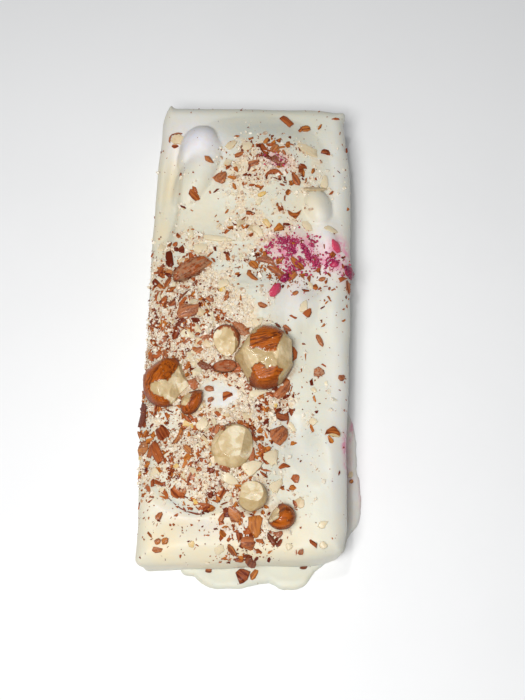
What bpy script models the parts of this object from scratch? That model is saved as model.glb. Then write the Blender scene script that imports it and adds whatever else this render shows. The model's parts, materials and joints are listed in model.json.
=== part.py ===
"""A protein bar in a thick white coating, strewn with broken almonds and berry crumbs.

The tables are in millimetres, measured from the middle of the bar, and the scene is in metres.
+Y runs along the bar, +X across it and +Z up. The origin lies on the surface that the bar rests on,
under the middle of the whole footprint, which counts the coating that ran out at the near end.
"""

import math
import random

import bmesh
import bpy
import numpy as np
from mathutils import Matrix, Vector, noise

MM = 0.001

# The bar
BAR_LENGTH = 105.0
BAR_WIDTH = 44.0
BAR_HEIGHT = 15.0
BAR_SHIFT = 0.5  # of the block along Y, from the middle that the tables are measured from
SHOULDER = 3.2  # radius of the rounded upper edges
CORNER = 1.6  # radius of the upright corners
NEAR_SKEW = 0.05  # how far out of square the near end is cut
# Upright corners drawn in where the coating ran off: x, y, how far along X and Y, reach
SOFT_CORNERS = (
    (22.0, -51.5, -1.0, 1.0, 4.0),
    (-22.5, 53.5, 1.3, 0.0, 3.2),
    (22.5, 53.5, -0.3, -1.3, 6.0),
)
# Bulges of the long walls: side, y of the middle, half length, how far out
WALL_BULGES = (
    (1, 22.0, 26.0, 0.8),
    (1, -34.0, 14.0, -0.6),
    (-1, -24.0, 9.0, 0.6),
    (-1, 47.0, 9.0, -0.7),
    (1, 50.0, 9.0, -0.9),
)
WALL_RIPPLE = 0.3
BAR_CENTRE = (-1.45, 1.79)  # the middle of the tables, in the part's frame

# The swell of the coating over the filling: x, y, half length, half width, turn in degrees, rise
SWELLS = (
    (0.6, 31.0, 19.0, 17.6, 90, 2.3),
    (-4.6, 4.0, 23.0, 16.4, 92, 2.0),
    (-5.6, -26.0, 17.6, 15.0, 84, 2.3),
)
SWELL_POWER = 2.7
SWELL_SOFTNESS = 1.1

# Single lumps and hollows of the coating, in the same terms. The last figure is how softly the
# lump melts into the coating round it: 1 stands proud with a crease, 2.5 has no edge at all.
LUMPS = (
    (16.4, 21.4, 6.0, 3.4, -84, 0.9, 1.6),
    (17.4, 17.6, 3.8, 2.3, -82, 1.1, 1.1),
    (3.2, 40.6, 13.0, 8.0, 0, 1.0, 2.2),
    (9.0, 15.6, 9.0, 8.0, 12, 1.4, 2.2),
    (0.6, 4.6, 8.6, 6.0, 20, 1.5, 1.6),
    (12.0, 2.6, 7.6, 3.6, 74, 1.3, 1.5),
    (18.4, 2.0, 9.0, 3.4, 86, 0.7, 2.0),
    (-14.0, 0.8, 11.0, 7.0, -49, 1.6, 2.2),
    (-15.6, -15.4, 10.0, 8.4, 43, 1.4, 2.2),
    (4.6, -9.2, 12.4, 11.6, 0, 1.3, 2.2),
    (-11.5, -34.0, 11.0, 8.6, -26, 2.2, 0.8),
    (1.5, -35.0, 11.0, 9.4, 50, 1.3, 2.0),
    (16.4, -34.0, 22.0, 6.6, 90, 1.2, 1.8),
    (-8.0, -47.6, 15.0, 5.6, 4, 1.0, 2.0),
    (-18.4, 29.0, 15.0, 3.0, 86, -2.1, 1.2),
    (-18.0, 28.6, 10.0, 1.3, 83, 0.8, 0.9),
    (-5.0, 25.0, 10.0, 7.0, 30, -1.0, 2.2),
    (13.0, -29.0, 9.0, 4.4, -64, -1.2, 1.6),
    (14.6, 8.4, 6.0, 2.8, 64, -1.2, 1.6),
)
# Knobs of coating that stand proud of it, in the same terms. Where two meet, they melt into one.
KNOBS = (
    (-12.3, 41.7, 5.5, 4.4, 70, 3.2, 0.7),
    (-15.2, 38.9, 3.5, 2.1, 80, 2.4, 0.6),
    (-12.4, 34.8, 9.8, 4.4, 66, 2.7, 0.8),
    (15.0, 26.6, 4.4, 3.1, -80, 2.2, 0.75),
)
RIPPLE = 0.18
RIPPLE_LENGTH = 9.0
RIM_FADE = 4.0

# The coating that ran out on to the surface: x, y, half width, half length of each pool
POOLS = (
    (3.0, -34.0, 15.0, 16.0),
    (-3.6, -42.0, 9.5, 14.7),
    (10.0, -35.7, 6.1, 21.0),
    (15.5, -30.8, 9.3, 17.3),
    (12.8, -36.7, 12.8, 9.7),
    (4.6, -36.3, 15.9, 18.9),
    (-11.2, -52.1, 2.7, 2.0),
    (4.7, -46.4, 17.5, 4.8),
)
POOL_POWER = 3.0
POOL_MIDDLE = (4.0, -34.0)
POOL_HEIGHT = 1.2
POOL_FALLOFF = 9.0
POOL_STEPS = 96
# Rings of a pool from its edge inwards: distance in from the edge, share of the height
POOL_RINGS = ((0.0, 0.0), (0.0, 0.3), (0.3, 0.72), (1.0, 0.95), (3.0, 1.0))

# Nut pieces as large as berries, each a node of its own. half is the half length, width and height,
# cuts are the broken faces: the way each faces and its distance from the middle.
NUTS = {
    "almond_chunk": dict(
        at=(4.1, -9.7), lift=0.9, half=(6.8, 6.9, 4.6), turn=17, tilt=3, taper=0.02,
        cuts=(
            ((-0.05, 0.0, 1.0), 3.7), ((0.57, -0.29, 0.77), 4.6), ((-0.65, 0.76, 0.2), 5.5),
            ((-0.97, -0.24, 0.35), 5.0), ((0.97, -0.26, 0.1), 5.9),
        ),
    ),
    "almond_chunk_edge": dict(
        at=(-16.6, -15.4), lift=0.9, half=(5.4, 4.8, 3.7), turn=60, tilt=0, taper=0.04,
        cuts=(
            ((0.0, -0.57, 0.82), 2.75), ((0.49, -0.3, 0.82), 3.1), ((0.76, -0.59, 0.26), 4.3),
            ((-0.21, -0.94, 0.26), 4.1),
        ),
    ),
    "blanched_half": dict(
        at=(-2.5, -29.0), lift=0.7, half=(5.0, 4.3, 3.2), turn=62, tilt=4, taper=0.04,
        cuts=(((0.05, 0.1, 0.99), 2.6), ((0.3, -0.6, 0.74), 3.0), ((0.27, 0.96, 0.15), 4.1)),
    ),
    "blanched_chunk": dict(
        at=(1.9, -39.1), lift=0.8, half=(3.2, 3.1, 2.8), turn=10, tilt=0, taper=0.05,
        cuts=(((0.05, 0.35, 0.94), 1.8), ((-0.2, -0.55, 0.8), 2.4), ((-0.97, 0.1, 0.2), 2.9)),
    ),
    "round_nut_piece": dict(
        at=(7.9, -43.0), lift=0.9, half=(2.9, 2.6, 2.5), turn=0, tilt=0, taper=0.04,
        cuts=(((-0.7, 0.3, 0.65), 1.75),),
    ),
    "cut_almond_tip": dict(
        at=(-4.3, -6.0), lift=0.8, half=(3.5, 2.8, 2.6), turn=-78, tilt=10, taper=0.12,
        cuts=(((0.1, -0.25, 0.96), 1.5),),
    ),
    "skin_on_chunk": dict(
        at=(-11.2, -19.4), lift=0.8, half=(3.1, 2.0, 2.1), turn=62, tilt=0, taper=0.06,
        cuts=(((0.5, 0.6, 0.62), 1.5),),
    ),
    "almond_sliver": dict(
        at=(-12.6, 10.5), lift=0.7, half=(5.4, 2.1, 1.9), turn=31, tilt=4, taper=0.02,
        cuts=(
            ((0.0, 0.3, 0.95), 1.2), ((0.0, -0.75, 0.66), 1.5), ((-0.95, 0.1, 0.3), 4.0),
            ((0.95, 0.2, 0.2), 4.2),
        ),
    ),
    "skin_wedge": dict(
        at=(-4.5, -11.5), lift=0.5, half=(2.6, 1.4, 1.4), turn=4, tilt=-4, taper=-0.12,
        cuts=(((0.0, 0.3, 0.95), 0.8),),
    ),
}
NUT_SUBDIVISIONS = 3
NUT_LUMPINESS = 0.05
SOCKET_GAP = 0.38  # between a nut piece and the coating that holds it

# Chips that show from a step away, fused to the coating: x, y, length, width, turn, thickness
CHIPS = (
    (7.7, -26.4, 4.4, 3.7, 40, 1.5),
    (-18.0, -31.1, 5.3, 2.4, -61, 1.9),
    (-20.9, -29.4, 2.5, 2.4, 0, 2.0),
    (4.6, 40.4, 4.2, 2.6, 67, 1.9),
    (4.9, 36.9, 4.4, 1.8, -9, 1.6),
    (3.4, 11.4, 5.2, 1.9, -12, 1.6),
    (7.2, 8.6, 3.8, 1.9, -48, 1.5),
    (11.9, 12.8, 4.4, 2.0, -30, 1.6),
    (8.4, 48.4, 4.2, 2.3, -48, 1.3),
    (11.9, 47.3, 2.8, 2.1, 0, 1.3),
    (18.4, -24.9, 3.5, 2.0, -8, 1.3),
    (20.0, -13.4, 2.1, 1.8, 0, 1.4),
    (2.4, -45.8, 4.0, 2.3, -70, 1.6),
    (1.1, -48.3, 3.4, 3.0, 0, 1.8),
    (1.7, -51.0, 2.8, 2.5, -23, 1.8),
    (-0.2, -54.6, 3.6, 2.8, -40, 1.7),
    (2.5, -54.2, 2.4, 1.5, 55, 1.4),
    (6.6, -47.4, 3.4, 2.6, -30, 1.4),
    (-13.0, -27.4, 3.8, 1.5, -62, 1.3),
    (-13.7, -39.4, 2.8, 2.6, -60, 1.8),
    (-8.1, -41.4, 3.6, 1.8, -9, 1.4),
    (-2.7, -44.4, 3.5, 1.9, -30, 1.5),
    (12.7, 23.4, 3.4, 1.8, -25, 1.3),
    (9.6, -17.2, 5.4, 2.2, 55, 1.7),
    (12.7, 40.8, 5.2, 2.2, -14, 1.4),
    (-10.7, 15.7, 3.0, 2.4, -13, 1.2),
    (-6.7, 18.8, 7.2, 1.5, -5, 1.1),
    (3.6, -32.7, 5.0, 2.8, 30, 1.6),
    (-3.4, -35.4, 3.0, 2.6, 10, 1.5),
    (7.4, -30.6, 4.2, 2.6, -40, 1.5),
    (8.6, -36.4, 3.0, 2.3, 68, 1.4),
    (14.4, -22.9, 2.1, 1.8, 0, 1.2),
    (15.7, -11.7, 1.9, 1.8, 0, 1.5),
    (11.6, -40.3, 3.2, 2.2, -39, 1.3),
    (-16.8, 43.4, 3.8, 3.4, 0, 1.3),
    (18.0, 22.3, 3.0, 1.8, -15, 1.2),
    (6.0, 6.4, 3.4, 2.3, 66, 1.8),
    (18.4, 18.6, 3.2, 2.2, 62, 1.6),
    (-17.6, 13.6, 4.6, 2.0, -79, 1.9),
)
CHIP_SINK = 0.15  # share of its thickness by which a chip's middle stands over the coating
CHIP_JITTER = 0.16

# Smaller chips, strewn where the toppings lie thickest: x, y, spread across, spread along, share
DRIFTS = (
    (-10.0, -12.0, 8.0, 15.0, 1.0),
    (-6.0, -36.0, 8.0, 7.0, 0.7),
    (3.0, 37.0, 7.0, 6.0, 0.35),
    (9.0, 14.0, 6.0, 5.0, 0.3),
    (0.0, 0.0, 22.0, 50.0, 0.1),
)
STREWN_CHIPS = 34
STREWN_LENGTHS = (1.5, 2.6)
STREWN_SEED = 11
CLEAR_OF_NUTS = 0.8
EDGE_MARGIN = 3.4

COATING_COLOUR = (0.80, 0.76, 0.66)
FLESH_COLOUR = (0.72, 0.56, 0.33)
SKIN_COLOUR = (0.35, 0.12, 0.03)


def clear_scene():
    for old in list(bpy.data.objects):
        bpy.data.objects.remove(old)


def material(name, colour, roughness):
    made = bpy.data.materials.new(name)
    made.use_nodes = True
    shader = made.node_tree.nodes["Principled BSDF"]
    shader.inputs["Base Color"].default_value = (*colour, 1.0)
    shader.inputs["Roughness"].default_value = roughness
    shader.inputs["Metallic"].default_value = 0.0
    return made


def smooth_step(low, high, value):
    share = np.clip((value - low) / (high - low), 0.0, 1.0)
    return share * share * (3.0 - 2.0 * share)


def turned(x, y, degrees):
    """x and y as seen along axes turned by degrees."""
    c, s = math.cos(math.radians(degrees)), math.sin(math.radians(degrees))
    return x * c + y * s, -x * s + y * c


def rim_distance(x, y):
    """How far a point of the top lies inside the rounded outline of the bar."""
    over_x = abs(x) - (BAR_WIDTH / 2 - CORNER)
    over_y = abs(y - BAR_SHIFT) - (BAR_LENGTH / 2 - CORNER)
    outside = math.hypot(max(over_x, 0.0), max(over_y, 0.0))
    return CORNER - outside - min(max(over_x, over_y), 0.0)


def relief(x, y):
    """Height of the coating's swells and lumps over the plain top of the bar."""
    swell = 0.0
    for cx, cy, half_length, half_width, turn, rise in SWELLS:
        u, v = turned(x - cx, y - cy, turn)
        edge = abs(u / half_length) ** SWELL_POWER + abs(v / half_width) ** SWELL_POWER
        swell += (rise * max(1.0 - edge, 0.0) ** SWELL_SOFTNESS) ** 4
    height = swell**0.25
    for cx, cy, half_length, half_width, turn, rise, softness in LUMPS:
        u, v = turned(x - cx, y - cy, turn)
        inside = 1.0 - (u / half_length) ** 2 - (v / half_width) ** 2
        height += rise * max(inside, 0.0) ** softness
    knob = 0.0
    for cx, cy, half_length, half_width, turn, rise, softness in KNOBS:
        u, v = turned(x - cx, y - cy, turn)
        inside = 1.0 - (u / half_length) ** 2 - (v / half_width) ** 2
        knob += (rise * max(inside, 0.0) ** softness) ** 5
    height += knob**0.2
    height += RIPPLE * noise.noise(Vector((x, y, 0.0)) / RIPPLE_LENGTH)
    return height * smooth_step(0.0, RIM_FADE, rim_distance(x, y))


def top_height(x, y):
    """Height of the coating: the rounded shoulder, and the relief inside it."""
    over = max(SHOULDER - rim_distance(x, y), 0.0)
    return BAR_HEIGHT - SHOULDER + math.sqrt(max(SHOULDER**2 - over**2, 0.0)) + relief(x, y)


def round_corner(x, y):
    """A point of the square plan moved on to the plan with rounded corners."""
    core_x = np.clip(x, CORNER - BAR_WIDTH / 2, BAR_WIDTH / 2 - CORNER)
    core_y = np.clip(y, CORNER - BAR_LENGTH / 2, BAR_LENGTH / 2 - CORNER)
    dx, dy = x - core_x, y - core_y
    if dx and dy:
        stretch = max(abs(dx), abs(dy)) / math.hypot(dx, dy)
        dx, dy = dx * stretch, dy * stretch
    return core_x + dx, core_y + dy + BAR_SHIFT


def hand_cut(x, y, z):
    """A point of the block as it was really cut: skewed near end, soft corner, uneven walls."""
    at_wall = 1.0 - smooth_step(0.0, SHOULDER, rim_distance(x, y))
    out_x, out_y = x / BAR_WIDTH * 2, y / BAR_LENGTH * 2
    push = WALL_RIPPLE * noise.noise(Vector((x, y, z)) / RIPPLE_LENGTH + Vector((7.0, 3.0, 1.0)))
    moved_x = x + at_wall * push * out_x
    moved_y = y + at_wall * push * out_y + NEAR_SKEW * x * max(-out_y, 0.0)
    for corner_x, corner_y, by_x, by_y, reach in SOFT_CORNERS:
        near = math.exp(-((x - corner_x) ** 2 + (y - corner_y) ** 2) / reach**2)
        moved_x += by_x * near
        moved_y += by_y * near
    for side, middle, half_length, out in WALL_BULGES:
        share = max(side * out_x, 0.0) ** 4
        moved_x += side * share * out * math.exp(-(((y - middle) / half_length) ** 2))
    return moved_x, moved_y, z


def grid_lines(size, pitch):
    """Grid lines over one side of the top: evenly spaced inside, closer round the shoulders."""
    shoulder = [size / 2 - SHOULDER * (1.0 - math.sin(math.radians(a))) for a in (30, 60, 90)]
    inner = size / 2 - SHOULDER
    count = round(2 * inner / pitch)
    middle = [-inner + 2 * inner * i / count for i in range(count + 1)]
    return [-s for s in reversed(shoulder)] + middle + shoulder


def coated_block(name, pitch=2.05, wall_heights=(9.0, 6.0, 3.0, 1.2, 0.0)):
    """The bar in its coating, as one closed mesh: a gridded top, walls in rings and a flat base."""
    bm = bmesh.new()
    xs, ys = grid_lines(BAR_WIDTH, pitch), grid_lines(BAR_LENGTH, pitch)
    plan = [[round_corner(x, y) for y in ys] for x in xs]
    top = [[bm.verts.new(hand_cut(x, y, top_height(x, y))) for x, y in row] for row in plan]
    for i in range(len(xs) - 1):
        for j in range(len(ys) - 1):
            bm.faces.new((top[i][j], top[i + 1][j], top[i + 1][j + 1], top[i][j + 1]))
    loop = (
        [(i, 0) for i in range(len(xs))]
        + [(len(xs) - 1, j) for j in range(1, len(ys))]
        + [(i, len(ys) - 1) for i in reversed(range(len(xs) - 1))]
        + [(0, j) for j in reversed(range(1, len(ys) - 1))]
    )
    above = [top[i][j] for i, j in loop]
    for height in wall_heights:
        below = [bm.verts.new(hand_cut(*plan[i][j], height)) for i, j in loop]
        join_rings(bm, below, above)
        above = below
    bm.faces.new(reversed(above))
    return finish_mesh(bm, name)


def join_rings(bm, lower, upper):
    """Faces between two rings of the same number of points."""
    for k in range(len(lower)):
        after = (k + 1) % len(lower)
        bm.faces.new((lower[k], lower[after], upper[after], upper[k]))


def finish_mesh(bm, name):
    """bm, in millimetres about the bar's middle, as a mesh in the part's frame."""
    bmesh.ops.recalc_face_normals(bm, faces=bm.faces)
    if bm.calc_volume(signed=True) < 0.0:
        bmesh.ops.reverse_faces(bm, faces=bm.faces)
    bm.transform(Matrix.Scale(MM, 4) @ Matrix.Translation((*BAR_CENTRE, 0.0)))
    mesh = bpy.data.meshes.new(name)
    bm.to_mesh(mesh)
    bm.free()
    return mesh


def add_object(name, mesh, finish, collection=None):
    made = bpy.data.objects.new(name, mesh)
    made.data.materials.append(finish)
    (collection or bpy.context.scene.collection).objects.link(made)
    return made


def pool_strength(x, y):
    """Above 1 inside the pooled coating. The pools melt into each other where they meet."""
    total = 0.0
    for cx, cy, half_width, half_length in POOLS:
        edge = abs((x - cx) / half_width) ** POOL_POWER + abs((y - cy) / half_length) ** POOL_POWER
        total += math.exp(-POOL_FALLOFF * (min(edge, 50.0) - 1.0))
    return total


def pool_reach(angle):
    """Distance from the pools' middle to their common edge, found by halving."""
    near, far = 0.0, 60.0
    for _ in range(30):
        middle = (near + far) / 2
        x = POOL_MIDDLE[0] + middle * math.cos(angle)
        y = POOL_MIDDLE[1] + middle * math.sin(angle)
        near, far = (middle, far) if pool_strength(x, y) > 1.0 else (near, middle)
    return near


def pooled_coating(name):
    """The thin foot of coating round the near end, as one closed disc with a rounded edge."""
    bm = bmesh.new()
    angles = [2 * math.pi * k / POOL_STEPS for k in range(POOL_STEPS)]
    reaches = [pool_reach(a) for a in angles]
    rings = []
    for inset, share in POOL_RINGS:
        ring = []
        for angle, reach in zip(angles, reaches):
            x = POOL_MIDDLE[0] + (reach - inset) * math.cos(angle)
            y = POOL_MIDDLE[1] + (reach - inset) * math.sin(angle)
            ring.append(bm.verts.new((x, y, share * POOL_HEIGHT)))
        rings.append(ring)
    for lower, upper in zip(rings, rings[1:]):
        join_rings(bm, lower, upper)
    bm.faces.new(rings[-1])
    bm.faces.new(reversed(rings[0]))
    return finish_mesh(bm, name)


def ground_height(x, y):
    """Height of the coating under a topping: the bar's top, or the pool beside it."""
    return top_height(x, y) if rim_distance(x, y - NEAR_SKEW * x) > 0.0 else POOL_HEIGHT


def nut_shape(bm, spec, gap=0.0):
    """One broken nut piece: an egg-shaped body, tapered to its tip, with flat broken faces."""
    half = Vector(spec["half"]) + Vector((gap, gap, gap))
    made = bmesh.ops.create_icosphere(bm, subdivisions=NUT_SUBDIVISIONS, radius=1.0)
    x, y = spec["at"]
    place = (
        Matrix.Translation((x, y, ground_height(x, y) + spec["lift"]))
        @ Matrix.Rotation(math.radians(spec["turn"]), 4, "Z")
        @ Matrix.Rotation(math.radians(spec["tilt"]), 4, "Y")
    )
    for vert in made["verts"]:
        unit = vert.co.copy()
        lumpy = 1.0 + NUT_LUMPINESS * noise.noise(unit * 1.7 + Vector((x, y, 0.0)))
        point = Vector(a * b for a, b in zip(unit, half)) * lumpy
        point.y *= 1.0 - spec["taper"] * unit.x
        for facing, distance in spec["cuts"]:
            normal = Vector(facing).normalized()
            over = point.dot(normal) - distance - gap
            point -= normal * max(over, 0.0)
        vert.co = place @ point
    return made["verts"]


def nut_mesh(name, spec, gap=0.0):
    bm = bmesh.new()
    nut_shape(bm, spec, gap)
    bmesh.ops.remove_doubles(bm, verts=bm.verts, dist=0.02)
    return finish_mesh(bm, name)


def chip_mesh(name, chip, draw):
    """A small angular chip that lies in the coating."""
    x, y, length, width, turn, thickness = chip
    bm = bmesh.new()
    bmesh.ops.create_icosphere(bm, subdivisions=1, radius=0.5)
    for vert in bm.verts:
        vert.co *= 1.0 + CHIP_JITTER * draw.uniform(-1.0, 1.0)
    place = (
        Matrix.Translation((x, y, ground_height(x, y) + CHIP_SINK * thickness))
        @ Matrix.Rotation(math.radians(turn), 4, "Z")
        @ Matrix.Rotation(math.radians(draw.uniform(-12, 12)), 4, "X")
        @ Matrix.Diagonal((length, width, thickness, 1.0))
    )
    bm.transform(place)
    return finish_mesh(bm, name)


def clear_of_nuts(x, y, size):
    """Whether a chip of that size at x, y stays off every nut piece and its socket."""
    for spec in NUTS.values():
        u, v = turned(x - spec["at"][0], y - spec["at"][1], spec["turn"])
        grow = size / 2 + CLEAR_OF_NUTS
        if (u / (spec["half"][0] + grow)) ** 2 + (v / (spec["half"][1] + grow)) ** 2 < 1.0:
            return False
    return True


def drift_share(x, y):
    """How thickly toppings lie at a point, from 0 to about 1."""
    return sum(
        share * math.exp(-((x - cx) / sx) ** 2 / 2 - ((y - cy) / sy) ** 2 / 2)
        for cx, cy, sx, sy, share in DRIFTS
    )


def strewn_chips():
    """The smaller chips, placed by the drifts' rule, apart from each other and from the named ones."""
    draw = random.Random(STREWN_SEED)
    placed = []
    while len(placed) < STREWN_CHIPS:
        x = draw.uniform(-BAR_WIDTH / 2, BAR_WIDTH / 2)
        y = draw.uniform(-BAR_LENGTH / 2, BAR_LENGTH / 2)
        length = draw.uniform(*STREWN_LENGTHS)
        crowded = any(math.hypot(x - c[0], y - c[1]) < (length + c[2]) / 2 for c in (*CHIPS, *placed))
        on_top = rim_distance(x, y) > EDGE_MARGIN
        chosen = draw.random() < drift_share(x, y)
        if not chosen or not on_top or crowded or not clear_of_nuts(x, y, length):
            continue
        width = length * draw.uniform(0.5, 0.9)
        placed.append((x, y, length, width, draw.uniform(0, 180), 0.6 * width + 0.5))
    return placed


def apply_boolean(target, helpers, operation, solver):
    """Joins or cuts target with every object of the helpers' collection, then removes them."""
    step = target.modifiers.new(operation.lower(), "BOOLEAN")
    step.operation = operation
    step.operand_type = "COLLECTION"
    step.collection = helpers
    step.solver = solver
    graph = bpy.context.evaluated_depsgraph_get()
    made = bpy.data.meshes.new_from_object(target.evaluated_get(graph))
    target.modifiers.clear()
    target.data = made
    for helper in list(helpers.objects):
        bpy.data.objects.remove(helper)
    bpy.data.collections.remove(helpers)


def helper_collection(name):
    made = bpy.data.collections.new(name)
    bpy.context.scene.collection.children.link(made)
    return made


def coated_bar(coating, skin):
    """The bar, its run-out coating and its small chips as one solid, with sockets for the nuts."""
    bar = add_object("coated_bar", coated_block("coated_bar"), coating)
    joined = helper_collection("joined")
    add_object("pools", pooled_coating("pools"), coating, joined)
    draw = random.Random(STREWN_SEED)
    chips = [c for c in CHIPS if clear_of_nuts(c[0], c[1], c[3])] + strewn_chips()
    for number, chip in enumerate(chips):
        add_object(f"chip_{number}", chip_mesh(f"chip_{number}", chip, draw), skin, joined)
    apply_boolean(bar, joined, "UNION", "MANIFOLD")
    sockets = helper_collection("sockets")
    for name, spec in NUTS.items():
        add_object("socket_" + name, nut_mesh("socket_" + name, spec, SOCKET_GAP), coating, sockets)
    apply_boolean(bar, sockets, "DIFFERENCE", "MANIFOLD")
    bar.data.shade_smooth()
    bar.data.set_sharp_from_angle(angle=math.radians(35))
    return bar


def nut_pieces(flesh, skin):
    for name, spec in NUTS.items():
        finish = flesh if name.startswith("blanched") else skin
        add_object(name, nut_mesh(name, spec), finish)


def main():
    clear_scene()
    coating = material("white_coating", COATING_COLOUR, 0.35)
    flesh = material("almond_flesh", FLESH_COLOUR, 0.45)
    skin = material("almond_skin", SKIN_COLOUR, 0.5)
    coated_bar(coating, skin)
    nut_pieces(flesh, skin)


main()
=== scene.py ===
"""A protein bar in a thick white coating, strewn with broken almonds, nut meal and berry crumbs.

The tables are in millimetres, measured from the middle of the bar: +Y along it, +X across it, +Z up.
A finished piece is in metres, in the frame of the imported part.
"""

import json
import math
import random

import bmesh
import bpy
import numpy as np
from bpy.props import FloatProperty, FloatVectorProperty, IntProperty, PointerProperty
from mathutils import Matrix, Vector, noise

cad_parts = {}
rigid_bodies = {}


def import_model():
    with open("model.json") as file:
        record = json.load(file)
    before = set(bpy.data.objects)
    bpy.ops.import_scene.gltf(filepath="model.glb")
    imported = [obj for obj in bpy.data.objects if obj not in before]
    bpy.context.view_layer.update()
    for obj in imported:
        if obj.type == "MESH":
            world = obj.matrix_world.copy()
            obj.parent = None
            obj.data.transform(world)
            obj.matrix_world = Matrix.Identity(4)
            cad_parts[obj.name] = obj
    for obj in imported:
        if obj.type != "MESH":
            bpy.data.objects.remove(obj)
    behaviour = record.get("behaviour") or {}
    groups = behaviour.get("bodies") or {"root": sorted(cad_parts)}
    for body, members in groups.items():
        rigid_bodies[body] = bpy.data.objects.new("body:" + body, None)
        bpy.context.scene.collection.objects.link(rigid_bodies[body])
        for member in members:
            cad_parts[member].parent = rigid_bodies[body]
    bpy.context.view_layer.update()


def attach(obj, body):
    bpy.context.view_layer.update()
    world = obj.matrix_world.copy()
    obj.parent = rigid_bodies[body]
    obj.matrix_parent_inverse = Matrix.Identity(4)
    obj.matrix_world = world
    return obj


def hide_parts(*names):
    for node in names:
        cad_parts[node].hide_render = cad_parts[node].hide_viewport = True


bl_info = {
    "name": "Nut topped protein bar",
    "version": (1, 0, 0),
    "blender": (4, 5, 0),
    "location": "3D View > Sidebar > Bar",
    "description": "Makes a white coated protein bar with broken almonds, nut meal and berry crumbs",
    "category": "Object",
}

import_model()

MM = 0.001
BAR_CENTRE = (-1.45, 1.79)  # the middle of the tables, in the part's frame

# The bar in its coating
BAR_LENGTH = 105.0
BAR_WIDTH = 44.0
BAR_HEIGHT = 15.0
BAR_SHIFT = 0.5  # how far its middle lies up the Y axis
SHOULDER = 3.2  # radius of the rounded upper edges
CORNER = 1.6  # radius of the upright corners
NEAR_SKEW = 0.05  # how much the near end leans, in y for each millimetre across
# Upright corners drawn in: x, y, how far along X and Y, reach
SOFT_CORNERS = (
    (22.0, -51.5, -1.0, 1.0, 4.0),
    (-22.5, 53.5, 1.3, 0.0, 3.2),
    (22.5, 53.5, -0.3, -1.3, 6.0),
)
# Bulges and hollows of the side walls: side, y of the middle, half length, how far out
WALL_BULGES = (
    (1, 22.0, 26.0, 0.8),
    (1, -34.0, 14.0, -0.6),
    (-1, -24.0, 9.0, 0.6),
    (-1, 47.0, 9.0, -0.7),
    (1, 50.0, 9.0, -0.9),
)
WALL_RIPPLE = 0.3  # how far the walls wander in and out
# Heights of the rings of points down the walls
WALL_HEIGHTS = (11.0, 10.0, 9.0, 8.0, 7.0, 6.0, 5.0, 4.0, 3.0, 2.1, 1.3, 0.6, 0.2, 0.0)

# The swell of the coating over the filling: x, y, half length, half width, turn, rise
SWELLS = (
    (0.6, 31.0, 19.0, 17.6, 90, 2.3),
    (-4.6, 4.0, 23.0, 16.4, 92, 2.0),
    (-5.6, -26.0, 17.6, 15.0, 84, 2.3),
)
SWELL_POWER = 2.7  # squareness of their plan
SWELL_SOFTNESS = 1.1
SWELL_MELT = 4  # the higher, the sharper the valley where two meet
# Lumps and hollows of the coating in the same terms, and how softly each melts into the rest
LUMPS = (
    (16.4, 21.4, 6.0, 3.4, -84, 0.9, 1.6),
    (17.4, 17.6, 3.8, 2.3, -82, 1.1, 1.1),
    (3.2, 40.6, 13.0, 8.0, 0, 1.0, 2.2),
    (9.0, 15.6, 9.0, 8.0, 12, 1.4, 2.2),
    (0.6, 4.6, 8.6, 6.0, 20, 1.5, 1.6),
    (12.0, 2.6, 7.6, 3.6, 74, 1.3, 1.5),
    (18.4, 2.0, 9.0, 3.4, 86, 0.7, 2.0),
    (-14.0, 0.8, 11.0, 7.0, -49, 1.6, 2.2),
    (-15.6, -15.4, 10.0, 8.4, 43, 1.4, 2.2),
    (4.6, -9.2, 12.4, 11.6, 0, 1.3, 2.2),
    (-11.5, -34.0, 11.0, 8.6, -26, 2.2, 0.8),
    (1.5, -35.0, 11.0, 9.4, 50, 1.3, 2.0),
    (16.4, -34.0, 22.0, 6.6, 90, 1.2, 1.8),
    (-8.0, -47.6, 15.0, 5.6, 4, 1.0, 2.0),
    (-18.4, 29.0, 15.0, 3.0, 86, -2.1, 1.2),
    (-18.0, 28.6, 10.0, 1.3, 83, 0.8, 0.9),
    (-5.0, 25.0, 10.0, 7.0, 30, -1.0, 2.2),
    (13.0, -29.0, 9.0, 4.4, -64, -1.2, 1.6),
    (14.6, 8.4, 6.0, 2.8, 64, -1.2, 1.6),
)
# Knobs of coating that stand proud of it, in the same terms. Where two meet, they melt into one.
KNOBS = (
    (-12.3, 41.7, 5.5, 4.4, 70, 3.2, 0.7),
    (-15.2, 38.9, 3.5, 2.1, 80, 2.4, 0.6),
    (-12.4, 34.8, 9.8, 4.4, 66, 2.7, 0.8),
    (15.0, 26.6, 4.4, 3.1, -80, 2.2, 0.75),
)
KNOB_MELT = 5
RIPPLE = 0.18  # the broad waves of the top
RIPPLE_LENGTH = 9.0
RIM_FADE = 4.0  # how far inside the rim the relief has its full height
DIMPLE = 0.07  # the small waves that the coating set in
WALL_DIMPLE_SHARE = 0.4  # how much of them the walls have
DIMPLE_LENGTH = 3.2
CRUMB_BED = 0.28  # how rough the coating is where nut meal lies in it
CRUMB_BED_LENGTH = 1.3
NUT_LIP = 0.22  # how far the coating stands up round a nut piece
NUT_LIP_WIDTH = 0.9
# Painted shadow: the coating beside each nut is darkened as if in its shade
NUT_SHADOW_WIDTH = 0.6  # how far the coating is dark beside a nut piece
# Thin lips of coating drawn out at the far corners: x, y, how far along X and Y
CORNER_LIPS = ((-21.0, 53.0, 0.2, 0.9), (21.6, 52.6, 0.7, 0.5))
CORNER_LIP_REACH = 1.3
CORNER_LIP_HEIGHTS = (8.0, 11.5)  # a lip grows to its full size between them

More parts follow.
